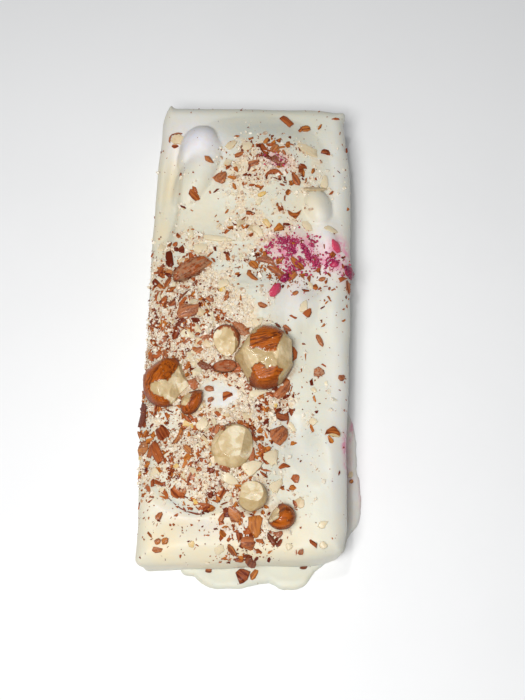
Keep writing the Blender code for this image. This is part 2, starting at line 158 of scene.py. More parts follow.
# The coating that ran out: x, y, half width, half length of each pool
POOLS = (
    (3.0, -34.0, 15.0, 16.0),
    (-3.6, -42.0, 9.5, 14.7),
    (10.0, -35.7, 6.1, 21.0),
    (15.5, -30.8, 9.3, 17.3),
    (12.8, -36.7, 12.8, 9.7),
    (4.6, -36.3, 15.9, 18.9),
    (-11.2, -52.1, 2.7, 2.0),
    (4.7, -46.4, 17.5, 4.8),
)
POOL_POWER = 3.0  # squareness of their plan
POOL_FALLOFF = 9.0  # how little they melt into each other
POOL_MIDDLE = (4.0, -34.0)
POOL_HEIGHT = 1.2
POOL_RIPPLE = 0.12
POOL_RIPPLE_LENGTH = 4.0
POOL_STEPS = 540  # points round the edge
# Rings of points from the edge inwards: how far in, and share of the full height
POOL_RINGS = (
    (0.0, 0.0), (0.0, 0.15), (0.03, 0.3), (0.12, 0.5), (0.3, 0.72), (0.6, 0.87),
    (1.0, 0.95), (1.5, 1.0), (2.1, 1.0), (2.8, 0.98), (3.6, 1.0), (4.6, 1.0), (6.0, 1.0),
)
POOL_EDGE_WAVE = 0.45
POOL_EDGE_WAVE_LENGTH = 3.6

# Where things lie, as soft drifts: x, y, spread along, spread across, turn, share
MEAL_DRIFTS = (
    (-11.0, 17.0, 7.0, 3.0, 6, 0.45),
    (-14.0, 3.0, 6.0, 9.0, 0, 0.55),
    (-6.0, 4.0, 6.0, 5.0, 0, 0.7),
    (-10.0, -9.0, 9.0, 8.0, 0, 0.62),
    (3.0, -18.0, 8.0, 5.0, 0, 0.5),
    (-8.0, -27.0, 11.0, 8.0, 0, 0.62),
    (-6.0, -35.5, 9.0, 4.0, -10, 0.65),
    (2.0, -46.0, 6.0, 4.0, 0, 0.2),
    (-2.0, 34.0, 6.5, 6.0, 0, 0.7),
    (9.0, 38.0, 6.0, 5.0, 0, 0.42),
    (2.0, 21.0, 6.0, 4.5, 0, 0.62),
    (1.0, -4.0, 3.0, 8.0, 0, 0.35),
    (12.5, 21.0, 2.4, 2.4, 0, 0.35),
    (15.0, 31.0, 3.5, 1.6, 10, 0.5),
    (-15.0, 29.0, 2.0, 4.0, 0, 0.18),
    (-20.6, -3.0, 1.8, 12.0, 0, 0.4),
)
FLAKE_DRIFTS = (
    (3.6, 37.6, 4.4, 3.4, 0, 0.5),
    (-4.0, 34.0, 6.0, 3.5, 0, 0.15),
    (10.0, 33.0, 4.0, 3.0, 0, 0.12),
    (4.0, 21.5, 5.0, 2.2, 0, 0.16),
    (4.0, 11.0, 5.0, 2.4, -20, 0.55),
    (15.0, 10.0, 6.0, 3.0, 0, 0.22),
    (-14.0, 3.0, 5.0, 7.0, 0, 0.48),
    (-13.5, -2.0, 3.0, 3.0, 0, 0.4),
    (-17.0, -8.0, 4.0, 6.0, 0, 0.5),
    (-5.0, -2.0, 3.0, 4.0, 0, 0.3),
    (-17.5, -24.0, 4.0, 9.0, 0, 0.55),
    (-4.0, -13.0, 4.5, 3.0, 0, 0.7),
    (4.0, -16.5, 6.0, 2.2, 0, 0.7),
    (-8.2, -25.5, 4.5, 5.0, 0, 0.6),
    (-7.0, -33.6, 6.0, 3.0, 0, 0.6),
    (3.8, -26.4, 2.4, 4.0, 0, 0.95),
    (-9.5, -38.5, 7.0, 2.6, -12, 0.3),
    (-11.0, -46.5, 7.0, 3.0, 0, 0.1),
    (2.0, -43.5, 4.5, 3.5, 0, 0.28),
    (0.4, -48.0, 2.6, 3.4, 0, 0.35),
    (0.6, -52.6, 3.2, 1.6, 0, 0.35),
    (-20.4, -2.0, 1.6, 10.0, 0, 0.28),
)
BERRY_DRIFTS = (
    (7.8, 16.6, 2.2, 1.9, 0, 1.0),
    (12.6, 15.8, 2.0, 2.3, 0, 1.0),
    (9.0, 11.6, 1.5, 2.0, 20, 0.6),
    (16.8, 13.2, 2.2, 1.1, 0, 0.8),
    (5.9, 37.2, 1.6, 0.9, -22, 0.5),
)
# Where berries have stained the coating
STAIN_DRIFTS = (
    (8.0, 16.2, 2.6, 2.0, 0, 1.1),
    (12.4, 15.6, 2.2, 2.2, 0, 1.0),
    (8.8, 11.4, 1.6, 2.2, 20, 0.6),
    (17.4, 13.8, 2.2, 1.3, 0, 0.75),
    (20.6, 14.6, 1.1, 2.8, 0, 1.3),
    (18.4, 13.0, 1.5, 1.5, 0, 0.5),
    (19.4, 17.0, 1.4, 1.2, 0, 0.9),
    (25.4, -33.0, 0.5, 6.0, 0, 0.4),
    (5.9, 37.3, 2.2, 1.2, -22, 0.75),
    (22.4, -30.0, 0.8, 7.0, 0, 0.2),
    (21.2, -27.3, 0.42, 1.4, 0, 2.4),
    (21.5, -31.4, 0.4, 0.7, 0, 1.2),
    (23.6, -20.2, 0.35, 2.6, -10, 1.0),
)
# Where the coating is yellowish: partly its own tint, partly painted warm light on the bright near end and
# painted warm shade down the left valley
WARM_AND_PAINTED_LIGHT_DRIFTS = (
    (-16.0, -47.0, 8.0, 7.0, 0, 0.75),
    (-4.0, -50.0, 10.0, 4.0, 0, 0.45),
    (-20.5, 8.0, 2.6, 26.0, 0, 0.45),
    (-19.0, 32.0, 2.2, 12.0, 0, 0.4),
    (13.4, 25.5, 2.6, 4.0, 0, 0.55),
    (-12.0, 24.0, 5.0, 6.0, 0, 0.35),
    (8.0, -48.0, 9.0, 4.0, 0, 0.3),
    (0.0, -46.5, 8.0, 6.0, 0, 0.5),
    (3.0, 27.0, 9.0, 5.0, 0, 0.2),
    (-2.0, 48.4, 5.0, 0.8, 8, 0.5),
    (-16.9, 28.0, 0.9, 9.0, -4, 0.45),
    (-18.5, 29.7, 0.7, 8.0, -11, 1.0),
)
# Painted cool light: a bluish-white highlight on the tall knob and a bluish tint on shaded slopes, the sides
# and the coating that ran out
PAINTED_COOL_LIGHT_DRIFTS = (
    (-12.4, 42.0, 4.6, 4.0, 0, 1.0),
    (-17.0, 47.5, 5.0, 4.0, 0, 0.25),
    (16.5, 17.0, 2.2, 5.0, 0, 0.5),
    (10.0, 5.0, 4.0, 4.0, 0, 0.45),
    (10.5, -27.0, 3.0, 7.0, 30, 0.25),
    (-3.0, -19.0, 4.0, 3.0, 0, 0.5),
    (20.0, -20.0, 2.0, 22.0, 0, 0.35),
    (20.0, 36.0, 2.4, 12.0, 0, 0.3),
    (24.0, -36.0, 1.6, 14.0, 0, 0.4),
    (-3.0, -46.0, 5.0, 1.6, 0, 0.3),
    (-12.5, -42.9, 4.6, 1.0, -14, 0.3),
)
# Painted shade: where the coating is made greyish, in the valleys, under the ledges, at the far end and along
# the right side
PAINTED_SHADE_DRIFTS = (
    (-14.8, -40.1, 3.5, 0.6, -33, 0.70),
    (-7.7, -41.7, 2.6, 0.6, 17, 0.60),
    (24.0, -30.0, 1.6, 24.0, 0, 0.5),
    (1.0, 46.6, 9.0, 2.6, 0, 0.7),
    (-17.2, 28.0, 0.8, 10.0, -5, 0.4),
    (-20.4, 27.0, 0.7, 12.0, -5, 0.3),
    (13.4, -26.2, 2.0, 2.6, 0, 0.7),
    (-16.8, 16.0, 0.7, 6.0, 6, 0.4),
    (22.0, 20.0, 1.6, 30.0, 0, 0.25),
)
# Painted shade on the coating that ran out, made greyish along the right side and the near end
PAINTED_SHADE_FOOT = (
    (24.0, -34.0, 5.0, 14.0, 0, 0.15),
    (4.0, -54.0, 30.0, 6.0, 0, 0.15),
)
# Where the coating shows bare
BARE_DRIFTS = (
    (-12.2, 40.0, 3.4, 4.6, 20, 1.6),
    (-9.6, 29.5, 2.6, 3.4, 0, 0.8),
    (-19.0, 33.0, 1.6, 10.0, 0, 0.7),
    (15.7, 26.0, 2.4, 3.6, 0, 1.2),
    (16.6, 19.0, 1.6, 3.0, 0, 0.8),
    (11.0, 19.6, 1.6, 1.0, 0, 0.9),
    (-0.5, 7.0, 2.6, 2.4, 0, 0.9),
    (9.6, 4.0, 4.0, 3.4, 0, 0.7),
    (-3.6, -18.2, 2.8, 2.0, 0, 0.9),
    (8.4, -28.6, 2.2, 3.4, 30, 0.8),
    (-14.5, -42.6, 5.0, 1.2, -24, 0.9),
    (0.0, 45.6, 10.0, 1.2, 0, 0.9),
    (-16.0, 49.0, 5.0, 3.0, 0, 0.7),
    (4.0, 29.0, 3.6, 1.8, 0, 0.6),
    (-9.0, 23.0, 3.0, 2.2, 0, 0.7),
    (-6.9, -17.0, 2.8, 2.8, 0, 1.1),
    (12.6, -16.5, 1.6, 3.0, 0, 1.0),
)
CLUMP_LENGTH = 3.4  # how far apart the clumps of meal lie
BERRY_CLUMP_LENGTH = 1.7
SPECK_FLOOR = 0.022  # share of flakes and specks that stray over the whole top
# Heights between which the strewn top begins, and the strays on it
TOP_BEGINS = (11.9, 13.4)
STRAYS_BEGIN = (12.6, 14.2)
WARM_BEGINS = (1.0, 6.0)  # the same for the yellowish places

# Nut pieces, one to a node. half is the half length, width and height. cuts are the broken faces: the way
# each faces, its distance from the middle and, where given, how pale it may be. skin and bare are outlines of
# the plan with and without skin. tone runs from orange through red brown to nearly black. rough scales the
# broken relief, pale lightens the flesh, cut_pale and chip_pale say how much its faces and chips differ, dust
# is the meal on the skin, and coarse scales the streaks: below 1 they are broader.
NUTS = {
    "almond_chunk": dict(
        at=(4.1, -9.7), lift=0.9, half=(6.8, 6.9, 4.6), turn=17, tilt=3, taper=0.02, tone=0.14,
        rough=0.7, pale=-0.3,
        cuts=(
            # The first cut's paleness of 2.5 makes the top broken face near white: partly chalky flesh,
            # partly a painted highlight
            ((-0.05, 0.0, 1.0), 3.7, 2.5), ((0.57, -0.29, 0.77), 4.6), ((-0.65, 0.76, 0.2), 5.5),
            ((-0.97, -0.24, 0.35), 5.0), ((0.97, -0.26, 0.1), 5.9), ((0.52, -0.85, 0.2), 6.0),
        ),
        skin=(
            ((0.6, -6.1), (2.0, -4.8), (3.7, -3.3), (5.6, -2.9), (7.3, -3.6), (7.9, -5.1), (6.9, -7.1),
             (6.3, -9.3), (4.6, -8.9), (2.5, -8.5), (0.6, -8.8), (0.8, -7.9)),
            ((1.4, -12.9), (2.2, -12.2), (3.0, -11.5), (3.9, -12.2), (4.5, -13.1), (5.5, -12.6), (6.8, -12.9),
             (8.0, -13.0), (7.4, -14.3), (6.8, -15.9), (6.7, -18.5), (0.9, -18.5), (1.0, -14.4)),
        ),
    ),
    "almond_chunk_edge": dict(
        at=(-16.6, -15.4), lift=0.9, half=(5.4, 4.8, 3.7), turn=60, tilt=0, taper=0.04, tone=0.16,
        cuts=(
            ((0.0, -0.57, 0.82), 2.75), ((0.49, -0.3, 0.82), 3.1), ((0.76, -0.59, 0.26), 4.3),
            ((-0.21, -0.94, 0.26), 4.1),
        ),
        bare=(
            ((-20.0, -16.6), (-19.2, -16.1), (-18.2, -15.9), (-17.4, -15.5), (-16.1, -15.9), (-15.5, -14.8),
             (-14.7, -13.5), (-14.0, -12.1), (-13.1, -11.0), (-10.5, -13.4), (-10.5, -17.3), (-13.2, -21.0),
             (-15.0, -22.0), (-15.7, -20.6), (-17.0, -19.1), (-18.6, -19.0), (-19.7, -17.9)),
        ),
    ),
    "blanched_half": dict(
        at=(-2.5, -29.0), lift=0.7, half=(5.0, 4.3, 3.2), turn=62, tilt=4, taper=0.04, tone=0.5, rough=0.3,
        pale=0.15, cut_pale=0.8, chip_pale=0.6,
        cuts=(
            ((0.05, 0.1, 0.99), 2.6), ((0.3, -0.6, 0.74), 3.0), ((0.27, 0.96, 0.15), 4.1),
        ),
        skin=(((-5.2, -25.9), (-3.6, -24.0), (-1.6, -23.7), (-1.8, -24.5), (-3.4, -25.0), (-4.8, -26.3)),),
    ),
    "blanched_chunk": dict(
        at=(1.9, -39.1), lift=0.8, half=(3.2, 3.1, 2.8), turn=10, tilt=0, taper=0.05, tone=0.5, rough=0.4,
        pale=-0.1, cut_pale=1.3, chip_pale=0.2,
        cuts=(((0.05, 0.35, 0.94), 1.8, 2.5), ((-0.2, -0.55, 0.8), 2.4, 0.0), ((-0.97, 0.1, 0.2), 2.9, 0.0)),
        skin=(),
    ),
    "round_nut_piece": dict(
        at=(7.9, -43.0), lift=0.9, half=(2.9, 2.6, 2.5), turn=0, tilt=0, taper=0.04, tone=0.22,
        coarse=0.3, pale=0.25,
        cuts=(((-0.7, 0.3, 0.65), 1.75),),
        bare=(
            ((4.4, -41.0), (5.6, -40.6), (7.1, -41.2), (7.4, -42.5), (7.0, -43.9), (6.2, -44.6),
             (4.4, -44.6)),
        ),
    ),
    "cut_almond_tip": dict(
        at=(-4.3, -6.0), lift=0.8, half=(3.5, 2.8, 2.6), turn=-78, tilt=10, taper=0.12, tone=0.45, rough=0.25,
        cuts=(((0.1, -0.25, 0.96), 1.5),),
        bare=(
            ((-7.8, -8.5), (-7.4, -5.2), (-6.3, -3.9), (-4.9, -3.4), (-3.6, -3.7), (-2.5, -4.8), (-1.8, -6.6),
             (-1.8, -8.2), (-2.4, -10.6), (-6.6, -10.6)),
        ),
    ),
    "skin_on_chunk": dict(
        at=(-11.2, -19.4), lift=0.8, half=(3.1, 2.0, 2.1), turn=62, tilt=0, taper=0.06, tone=0.3,
        cuts=(((0.5, 0.6, 0.62), 1.5),),
        bare=(
            ((-13.6, -19.8), (-12.6, -17.8), (-11.5, -17.8), (-11.0, -18.9), (-11.9, -20.0), (-12.4, -21.0)),
        ),
    ),
    "almond_sliver": dict(
        at=(-12.6, 10.5), lift=0.7, half=(5.4, 2.1, 1.9), turn=31, tilt=4, taper=0.02, tone=0.5,
        rough=2.5, dust=0.6,
        cuts=(
            ((0.0, 0.3, 0.95), 1.2), ((0.0, -0.75, 0.66), 1.5), ((-0.95, 0.1, 0.3), 4.0),
            ((0.95, 0.2, 0.2), 4.2),
        ),
        bare=(),
    ),
    "skin_wedge": dict(
        at=(-4.5, -11.5), lift=0.5, half=(2.6, 1.4, 1.4), turn=4, tilt=-4, taper=-0.12, tone=0.6, dust=0.35,
        cuts=(((0.0, 0.3, 0.95), 0.8),), bare=(),
    ),
}
BLANCHED = ("blanched_half", "blanched_chunk", "cut_almond_tip")  # mostly flesh, the others mostly skin
NUT_LUMPINESS = 0.05
PATCH_SLANT = 0.3  # how the outlines lean, in y for each millimetre down
PATCH_EDGE = 0.08  # half the width over which skin and flesh meet
FACETS = 2  # smaller facets that break up each cut
FACET_TILT = 0.2
FACET_SINK = 0.2
FRACTURE = 0.06  # how rough the broken flesh is
FRACTURE_LENGTH = 1.1
CHIP_FACETS = 22  # small chips all over a nut
CHIP_SLOPE = 0.13
CHIP_STEP = 0.1
CHIP_LIMITS = (-0.35, 0.2)
SKIN_THICKNESS = 0.16
SKIN_RAGGEDNESS = 0.45
FURROW = 0.07
FURROW_LENGTH = 0.55
LOW_SKIN = 0.85  # how much skin every nut has low on its sides
# Painted shade: the skin is made darker low on the sides, where the nut meets the coating
LOW_PAINTED_SHADE = 0.75  # how much darker the skin gets there
SHRINK = 0.08  # how far a nut is drawn in, so that its relief keeps within its size
SEED = 7

# Flakes of almond skin that show from a step away: x, y, length, width, turn, squareness, taper, bend, tone.
# A tone below 0 is a flake dusted all over, and says how thickly.
FLAKES = (
    (-19.0, 43.6, 2.3, 0.45, 82, 2.0, 0.0, -0.14, 0.6),
    (-17.4, 44.9, 3.0, 0.4, 6, 2.0, 0.0, -0.12, 0.5),
    (-17.8, 41.9, 1.6, 0.8, 8, 2.2, 0.3, 0, 0.5),
    (7.2, -26.1, 4.6, 3.9, 50, 1.7, 0.1, 0, -0.4),
    (15.4, -12.0, 2.6, 2.2, 20, 2.2, 0.0, 0, -0.9),
    (-13.8, -38.7, 2.5, 1.9, -47, 3.4, 0.0, 0, 0.5),
    (-12.2, -38.6, 1.9, 1.5, 42, 2.4, 0.3, 0, 0.35),
    (-21.9, -21.6, 5.6, 1.5, 84, 2.6, 0.1, 0.08, 1.05),
    (-18.1, -30.4, 5.0, 2.2, -62, 3.6, 0.0, 0, 0.55),
    (-21.4, -29.0, 2.4, 3.2, -5, 2.0, 0.0, 0, 0.02),
    (-19.5, -29.9, 1.3, 3.0, -5, 2.4, 0.0, 0, 0.6),
    (7.8, -22.1, 3.4, 1.7, -10, 2.2, 0.2, 0.1, 0.8),
    (5.3, 39.9, 2.4, 2.0, 57, 2.2, 0.1, 0, 0.12),
    (3.3, 41.9, 1.7, 1.1, 58, 2.4, 0.2, 0, 0.15),
    (2.9, 39.4, 3.4, 1.3, -64, 2.4, 0.2, 0, 0.8),
    (3.9, 37.6, 2.2, 1.0, -30, 2.4, 0.2, 0, 0.95),
    (1.6, 40.6, 1.3, 0.8, 40, 2.4, 0.2, 0, 0.9),
    (1.6, 38.0, 1.6, 0.7, 20, 2.4, 0.2, 0, 0.75),
    (7.4, 39.0, 1.4, 0.7, -60, 2.4, 0.2, 0, 0.6),
    (6.0, 37.0, 3.9, 1.7, -22, 2.4, 0.2, 0.1, 0.9),
    (5.2, 33.9, 4.5, 1.3, 4, 2.2, 0.1, -0.35, 0.55),
    (0.5, 36.3, 2.6, 1.3, 18, 2.4, 0.3, 0.1, 0.5),
    (-6.7, 32.9, 3.2, 2.4, 52, 2.6, 0.5, 0, 0.4),
    (8.0, 48.3, 3.5, 1.9, -48, 3.6, 0.0, 0, 0.55),
    (12.3, 46.6, 2.4, 1.9, 13, 2.4, 0.1, 0, 0.2),
    (15.6, 47.1, 1.8, 0.6, 60, 2.2, 0.1, 0, 0.2),
    (-8.2, -41.2, 3.5, 1.5, 1, 2.2, 0.2, 0.1, 0.55),
    (10.1, 32.8, 3.4, 1.7, -62, 2.4, -0.3, 0, 0.5),
    (-12.6, 28.2, 2.7, 1.7, -39, 2.0, 0.2, 0.1, 0.4),
    (9.8, 24.1, 3.1, 1.7, 1, 1.8, 0.1, 0.45, 0.4),
    (-3.8, -17.9, 2.5, 1.5, 22, 2.2, 0.5, -0.2, 0.5),
    (-8.5, -5.3, 4.3, 1.5, 19, 2.2, 0.2, -0.2, 0.45),
    (10.8, -34.8, 1.9, 1.7, 50, 2.2, 0.5, 0, 0.55),
    (15.7, -4.9, 3.0, 1.1, -64, 2.4, 0.1, 0, 0.4),
    (-10.4, -8.0, 2.5, 1.7, 33, 2.4, 0.1, 0, 0.35),
    (-4.3, -38.6, 2.4, 1.5, 61, 2.6, 0.1, 0, 0.5),
    (-4.3, -43.4, 2.1, 1.1, 62, 2.4, 0.1, 0, 0.4),
    (-1.8, -42.7, 4.2, 2.3, -44, 2.4, -0.4, 0.06, 0.3),
    (-17.2, -43.2, 1.9, 1.3, 60, 2.4, 0.1, 0, 0.4),
    (-17.2, -48.4, 1.4, 1.3, 35, 2.2, 0.2, 0, 0.35),
    (-15.7, -48.3, 1.7, 1.3, 37, 2.2, 0.3, 0, 0.1),
    (-17.1, -50.1, 2.4, 1.3, 6, 2.2, 0.3, 0.1, 0.4),
    (-4.6, 4.2, 2.8, 1.3, 83, 2.6, 0.1, 0, 0.4),
    (13.1, 1.2, 2.3, 1.5, 55, 2.2, 0.4, 0, 0.6),
    (0.7, 9.1, 3.6, 1.3, -46, 2.2, 0.2, 0.1, 0.35),
    (1.1, 11.9, 2.4, 1.7, -42, 3.0, 0.1, 0, 0.1),
    (3.8, 12.8, 5.1, 1.7, -16, 2.0, 0.3, -0.25, 0.75),
    (5.8, 10.5, 4.7, 1.3, -32, 2.0, 0.2, -0.1, 0.5),
    (6.9, 10.0, 3.0, 1.5, -27, 2.0, 0.3, 0, 0.7),
    (10.6, 12.7, 3.7, 1.7, -34, 2.4, -0.2, 0.1, 0.38),
    (9.7, 10.0, 1.9, 1.7, 48, 2.4, 0.2, 0, 0.35),
    (6.4, 20.6, 2.3, 1.7, 32, 2.2, -0.4, 0, 0.15),
    (22.0, 8.0, 3.1, 1.1, -82, 2.0, 0.2, 0, 0.5),
    (-2.6, 38.5, 2.5, 1.1, 25, 2.2, 0.4, 0, 0.4),
    (-9.4, 36.4, 2.4, 1.3, -39, 2.0, 0.3, 0, 0.35),
    (10.3, 5.8, 1.4, 1.1, 41, 2.4, 0.1, 0, 0.35),
    (16.2, 9.7, 1.6, 1.1, 9, 2.6, 0.0, 0, 0.4),
    (3.2, 2.2, 2.4, 1.1, -10, 2.0, 0.2, 0.1, 0.4),
    (12.9, -51.7, 2.0, 0.9, 25, 2.0, 0.2, 0.1, 0.9),
    (12.0, -49.9, 1.3, 1.1, 72, 2.2, 0.4, 0, 0.45),
    (-7.6, -52.8, 1.5, 1.1, -15, 2.4, 0.2, 0, 0.5),
    (-19.6, 11.5, 2.5, 0.6, 49, 2.2, 0.1, 0, 0.5),
    (20.4, -13.0, 1.8, 1.5, 22, 2.2, 0.3, 0.1, 0.7),
    (18.5, -25.0, 3.1, 1.7, -3, 2.2, 0.1, -0.3, 0.4),
    (10.1, -8.0, 3.9, 0.9, -77, 2.2, 0.0, -0.25, 0.6),
    (7.9, -16.1, 4.9, 2.4, 54, 2.0, 0.2, 0.1, 0.5),
    (1.0, -15.7, 2.6, 1.9, 26, 2.4, 0.2, 0, 0.75),
    (-2.0, -11.7, 4.6, 2.3, 8, 2.0, 0.5, 0, 0.62),
    (-1.5, -3.2, 4.4, 2.6, -36, 2.4, 0.3, 0.06, -0.7),
    (-2.4, -2.2, 3.6, 0.5, -30, 2.0, 0.0, -0.1, 0.6),
    (-4.8, -3.7, 4.6, 1.1, 34, 2.2, 0.0, -0.45, 0.5),
    (6.6, -2.1, 1.6, 0.6, -34, 2.2, 0.1, 0, 1.0),
    (8.5, -2.6, 2.2, 1.3, -30, 2.4, 0.2, 0, 0.5),
    (-11.0, -15.6, 2.1, 2.4, 39, 3.0, 0.1, 0, 0.6),
    (-3.7, -33.8, 2.9, 1.7, -29, 2.4, 0.2, 0, 0.8),
    (4.2, -31.3, 2.9, 0.9, -72, 2.2, 0.0, 0.3, 0.5),
    (1.5, -30.6, 4.3, 1.5, -80, 2.4, 0.1, 0, 0.6),
    (8.3, -32.5, 2.6, 0.9, 15, 2.2, 0.0, -0.2, 0.7),
    (0.8, -36.5, 2.4, 1.7, 32, 2.0, 0.1, 0, 0.45),
    (2.7, -44.8, 4.8, 2.8, -84, 2.6, 0.45, 0.05, 0.05),
    (1.2, -48.3, 3.5, 2.9, 5, 2.0, 0.0, 0, -0.22),
    (1.8, -51.9, 2.4, 2.2, 56, 2.2, 0.3, 0, 0.85),
    (-0.3, -53.6, 3.2, 2.9, -35, 2.4, -0.5, 0, 0.8),
    (2.2, -53.5, 2.5, 1.5, 53, 2.6, 0.1, 0, 0.12),
    (6.0, -47.6, 2.9, 1.1, -54, 2.4, 0.1, 0.05, 0.95),
    (7.5, -46.5, 1.9, 1.3, 33, 2.4, 0.1, 0, 0.8),
    (7.6, -48.2, 1.9, 0.9, 59, 2.4, 0.1, 0, 0.85),
    (-11.5, -30.0, 2.7, 1.3, -44, 2.8, 0.1, 0, 0.1),
    (-11.7, -32.6, 3.5, 0.9, -123, 2.2, 0.2, 0.06, 0.05),
    (-10.6, -36.0, 2.9, 1.5, -113, 2.8, 0.1, 0, -0.25),
    (-4.4, -36.9, 3.7, 0.5, -69, 2.0, 0.0, 0.14, 0.95),
    (-6.1, -25.5, 2.8, 1.7, -110, 2.4, 0.2, 0, -0.45),
    (-15.6, -39.4, 3.4, 0.3, -41, 2.0, 0.0, 0.05, 1.0),
    (-13.1, -41.4, 3.3, 0.3, -33, 2.0, 0.0, 0.04, 1.0),
    (-9.7, -42.6, 3.7, 0.4, -8, 2.0, 0.0, 0.05, 0.95),
    (-9.4, -30.5, 3.4, 0.4, -84, 2.0, 0.0, -0.1, 0.6),
    (-16.4, 2.5, 3.7, 0.4, -119, 2.0, 0.0, 0.1, 1.05),
    (-14.0, 4.1, 4.4, 0.5, -127, 2.0, 0.0, 0.08, 0.95),
    (-18.4, 2.5, 2.3, 1.3, -53, 2.4, 0.2, 0, 0.95),
    (-16.9, 2.4, 1.9, 1.1, -21, 2.4, 0.2, 0, 0.85),
    (-15.4, -4.0, 3.6, 1.6, 68, 2.4, 0.2, 0.1, 0.85),
    (-14.2, -1.8, 2.6, 1.2, 20, 2.4, 0.2, 0, 1.0),
    (-11.5, -3.2, 2.2, 0.9, 75, 2.2, 0.2, 0.1, 0.8),
    (-10.9, -15.5, 2.2, 1.7, -44, 2.6, 0.2, 0, 1.0),
    (-8.7, -11.3, 3.4, 1.9, -20, 2.2, 0.3, 0.1, 1.0),
    (-7.2, -11.9, 2.0, 1.0, -45, 2.2, 0.2, 0, 0.85),
    (-17.7, -8.9, 2.9, 1.4, -80, 2.8, 0.1, 0, 0.45),
    (-1.9, -50.0, 2.9, 1.3, -55, 2.2, 0.2, 0.05, 0.25),
    (6.4, -46.2, 2.3, 0.6, -9, 2.2, 0.2, 0.1, 0.75),
    (-13.6, -27.0, 4.4, 1.3, 68, 2.2, 0.0, 0.25, 0.2),
    (-17.3, -26.0, 4.2, 2.7, -58, 3.4, 0.0, 0, 0.7),
    (-17.4, -27.2, 3.2, 0.6, -46, 2.2, 0.0, -0.2, 0.4),
    (-12.9, 0.6, 5.2, 3.4, 20, 2.2, 0.1, 0, -0.5),
    (-13.8, 2.6, 4.3, 0.9, 58, 2.2, 0.1, -0.25, 0.6),
    (-11.4, -0.2, 1.6, 0.9, 40, 2.2, 0.1, 0, 0.9),
    (-15.9, 0.8, 3.6, 0.5, 70, 2.2, 0.1, 0.12, 1.0),
    (-14.3, -0.6, 3.0, 0.5, 34, 2.2, 0.1, 0.15, 1.05),
    (-14.2, -2.2, 2.7, 1.5, 31, 2.4, 0.1, 0, 1.0),
    (-17.5, 10.1, 1.6, 1.7, 37, 2.6, 0.1, 0, 0.15),
    (-17.6, 8.0, 2.7, 1.3, 63, 2.4, 0.2, 0, 0.45),
    (-16.7, 5.8, 2.1, 1.3, 35, 2.0, 0.5, 0, 0.4),
    (-14.7, 4.2, 1.9, 1.1, -36, 2.0, 0.3, -0.1, 0.8),
    (-18.4, 3.0, 2.7, 1.7, 69, 2.4, 0.1, 0, 0.6),
    (-16.3, 2.2, 1.6, 1.5, 37, 2.4, 0.1, 0, 0.75),
    (-11.8, 4.6, 2.2, 1.1, 57, 2.4, 0.1, 0, 0.2),
    (-8.1, 3.7, 1.9, 1.5, -45, 2.4, 0.3, 0, 0.45),
    (-8.9, 0.7, 2.0, 1.3, 44, 2.0, 0.4, 0.2, 0.45),
    (-6.9, 0.9, 1.4, 0.9, 74, 2.2, 0.2, 0, 0.45),
    (-11.6, 7.5, 2.6, 0.6, 56, 2.0, 0.1, 0.1, 0.9),
    (-19.4, 4.9, 1.7, 0.9, 54, 2.0, 0.1, 0, 0.8),
    (-17.8, 16.9, 1.5, 0.9, 56, 2.2, 0.3, 0, 0.25),
    (-16.5, 17.0, 1.3, 1.1, 49, 2.2, 0.3, 0, 0.6),
    (-14.1, 12.4, 2.7, 1.7, 38, 2.4, 0.1, 0, 0.2),
    (-8.8, 11.9, 1.9, 1.3, 49, 2.6, 0.1, 0, 0.3),
    (-17.7, 13.4, 4.4, 1.9, -76, 2.4, 0.1, 0, 1.2),
    (-19.7, -37.6, 1.6, 0.9, -64, 2.2, 0.1, 0, 0.6),
    (-21.2, -12.2, 1.8, 1.5, 48, 2.4, 0.1, 0, 0.55),
    (-19.3, -8.6, 2.3, 1.5, 36, 2.4, 0.1, 0, 0.6),
    (-18.2, -5.6, 2.3, 1.3, 36, 2.4, 0.1, 0, 0.5),
    (-20.9, -8.5, 1.8, 0.9, 64, 2.4, 0.1, 0, 0.6),
    (-13.0, -5.5, 2.3, 1.3, 52, 2.4, 0.1, 0, 0.5),
    (-7.3, -18.9, 1.4, 1.1, 28, 2.4, 0.1, 0, 0.5),
    (-7.6, -16.4, 2.2, 1.3, -11, 2.4, 0.2, 0, 0.55),
    (3.0, -15.7, 1.4, 1.3, 28, 2.4, 0.1, 0, 0.7),
    (2.0, -26.6, 3.6, 0.6, -73, 2.0, 0.0, 0.06, 0.95),
    (4.4, -30.9, 3.0, 0.5, -77, 2.0, 0.0, 0.12, 0.95),
    (3.6, -29.3, 2.6, 1.0, -62, 2.2, 0.1, 0, 0.6),
    (0.6, -24.5, 2.6, 0.4, -35, 2.0, 0.0, -0.12, 0.9),
    (-20.0, 4.0, 2.7, 0.9, -68, 2.2, 0.1, 0, 0.6),
    (-20.2, 0.9, 2.4, 0.6, -71, 2.2, 0.1, 0.1, 0.85),
    (-19.7, -2.3, 2.2, 0.9, -37, 2.2, 0.1, 0, 0.5),
    (-20.3, -5.7, 2.4, 1.1, -48, 2.2, 0.1, 0, 0.45),
    (-20.6, -9.1, 2.4, 0.9, -71, 2.2, 0.1, 0, 0.7),
    (-19.3, 7.0, 2.1, 0.9, -49, 2.4, 0.1, 0, 0.35),
    (10.7, -40.3, 1.8, 0.8, -66, 2.2, 0.1, 0, 0.5),
    (23.2, -32.9, 1.1, 0.9, 40, 2.2, 0.1, 0, 0.2),
)
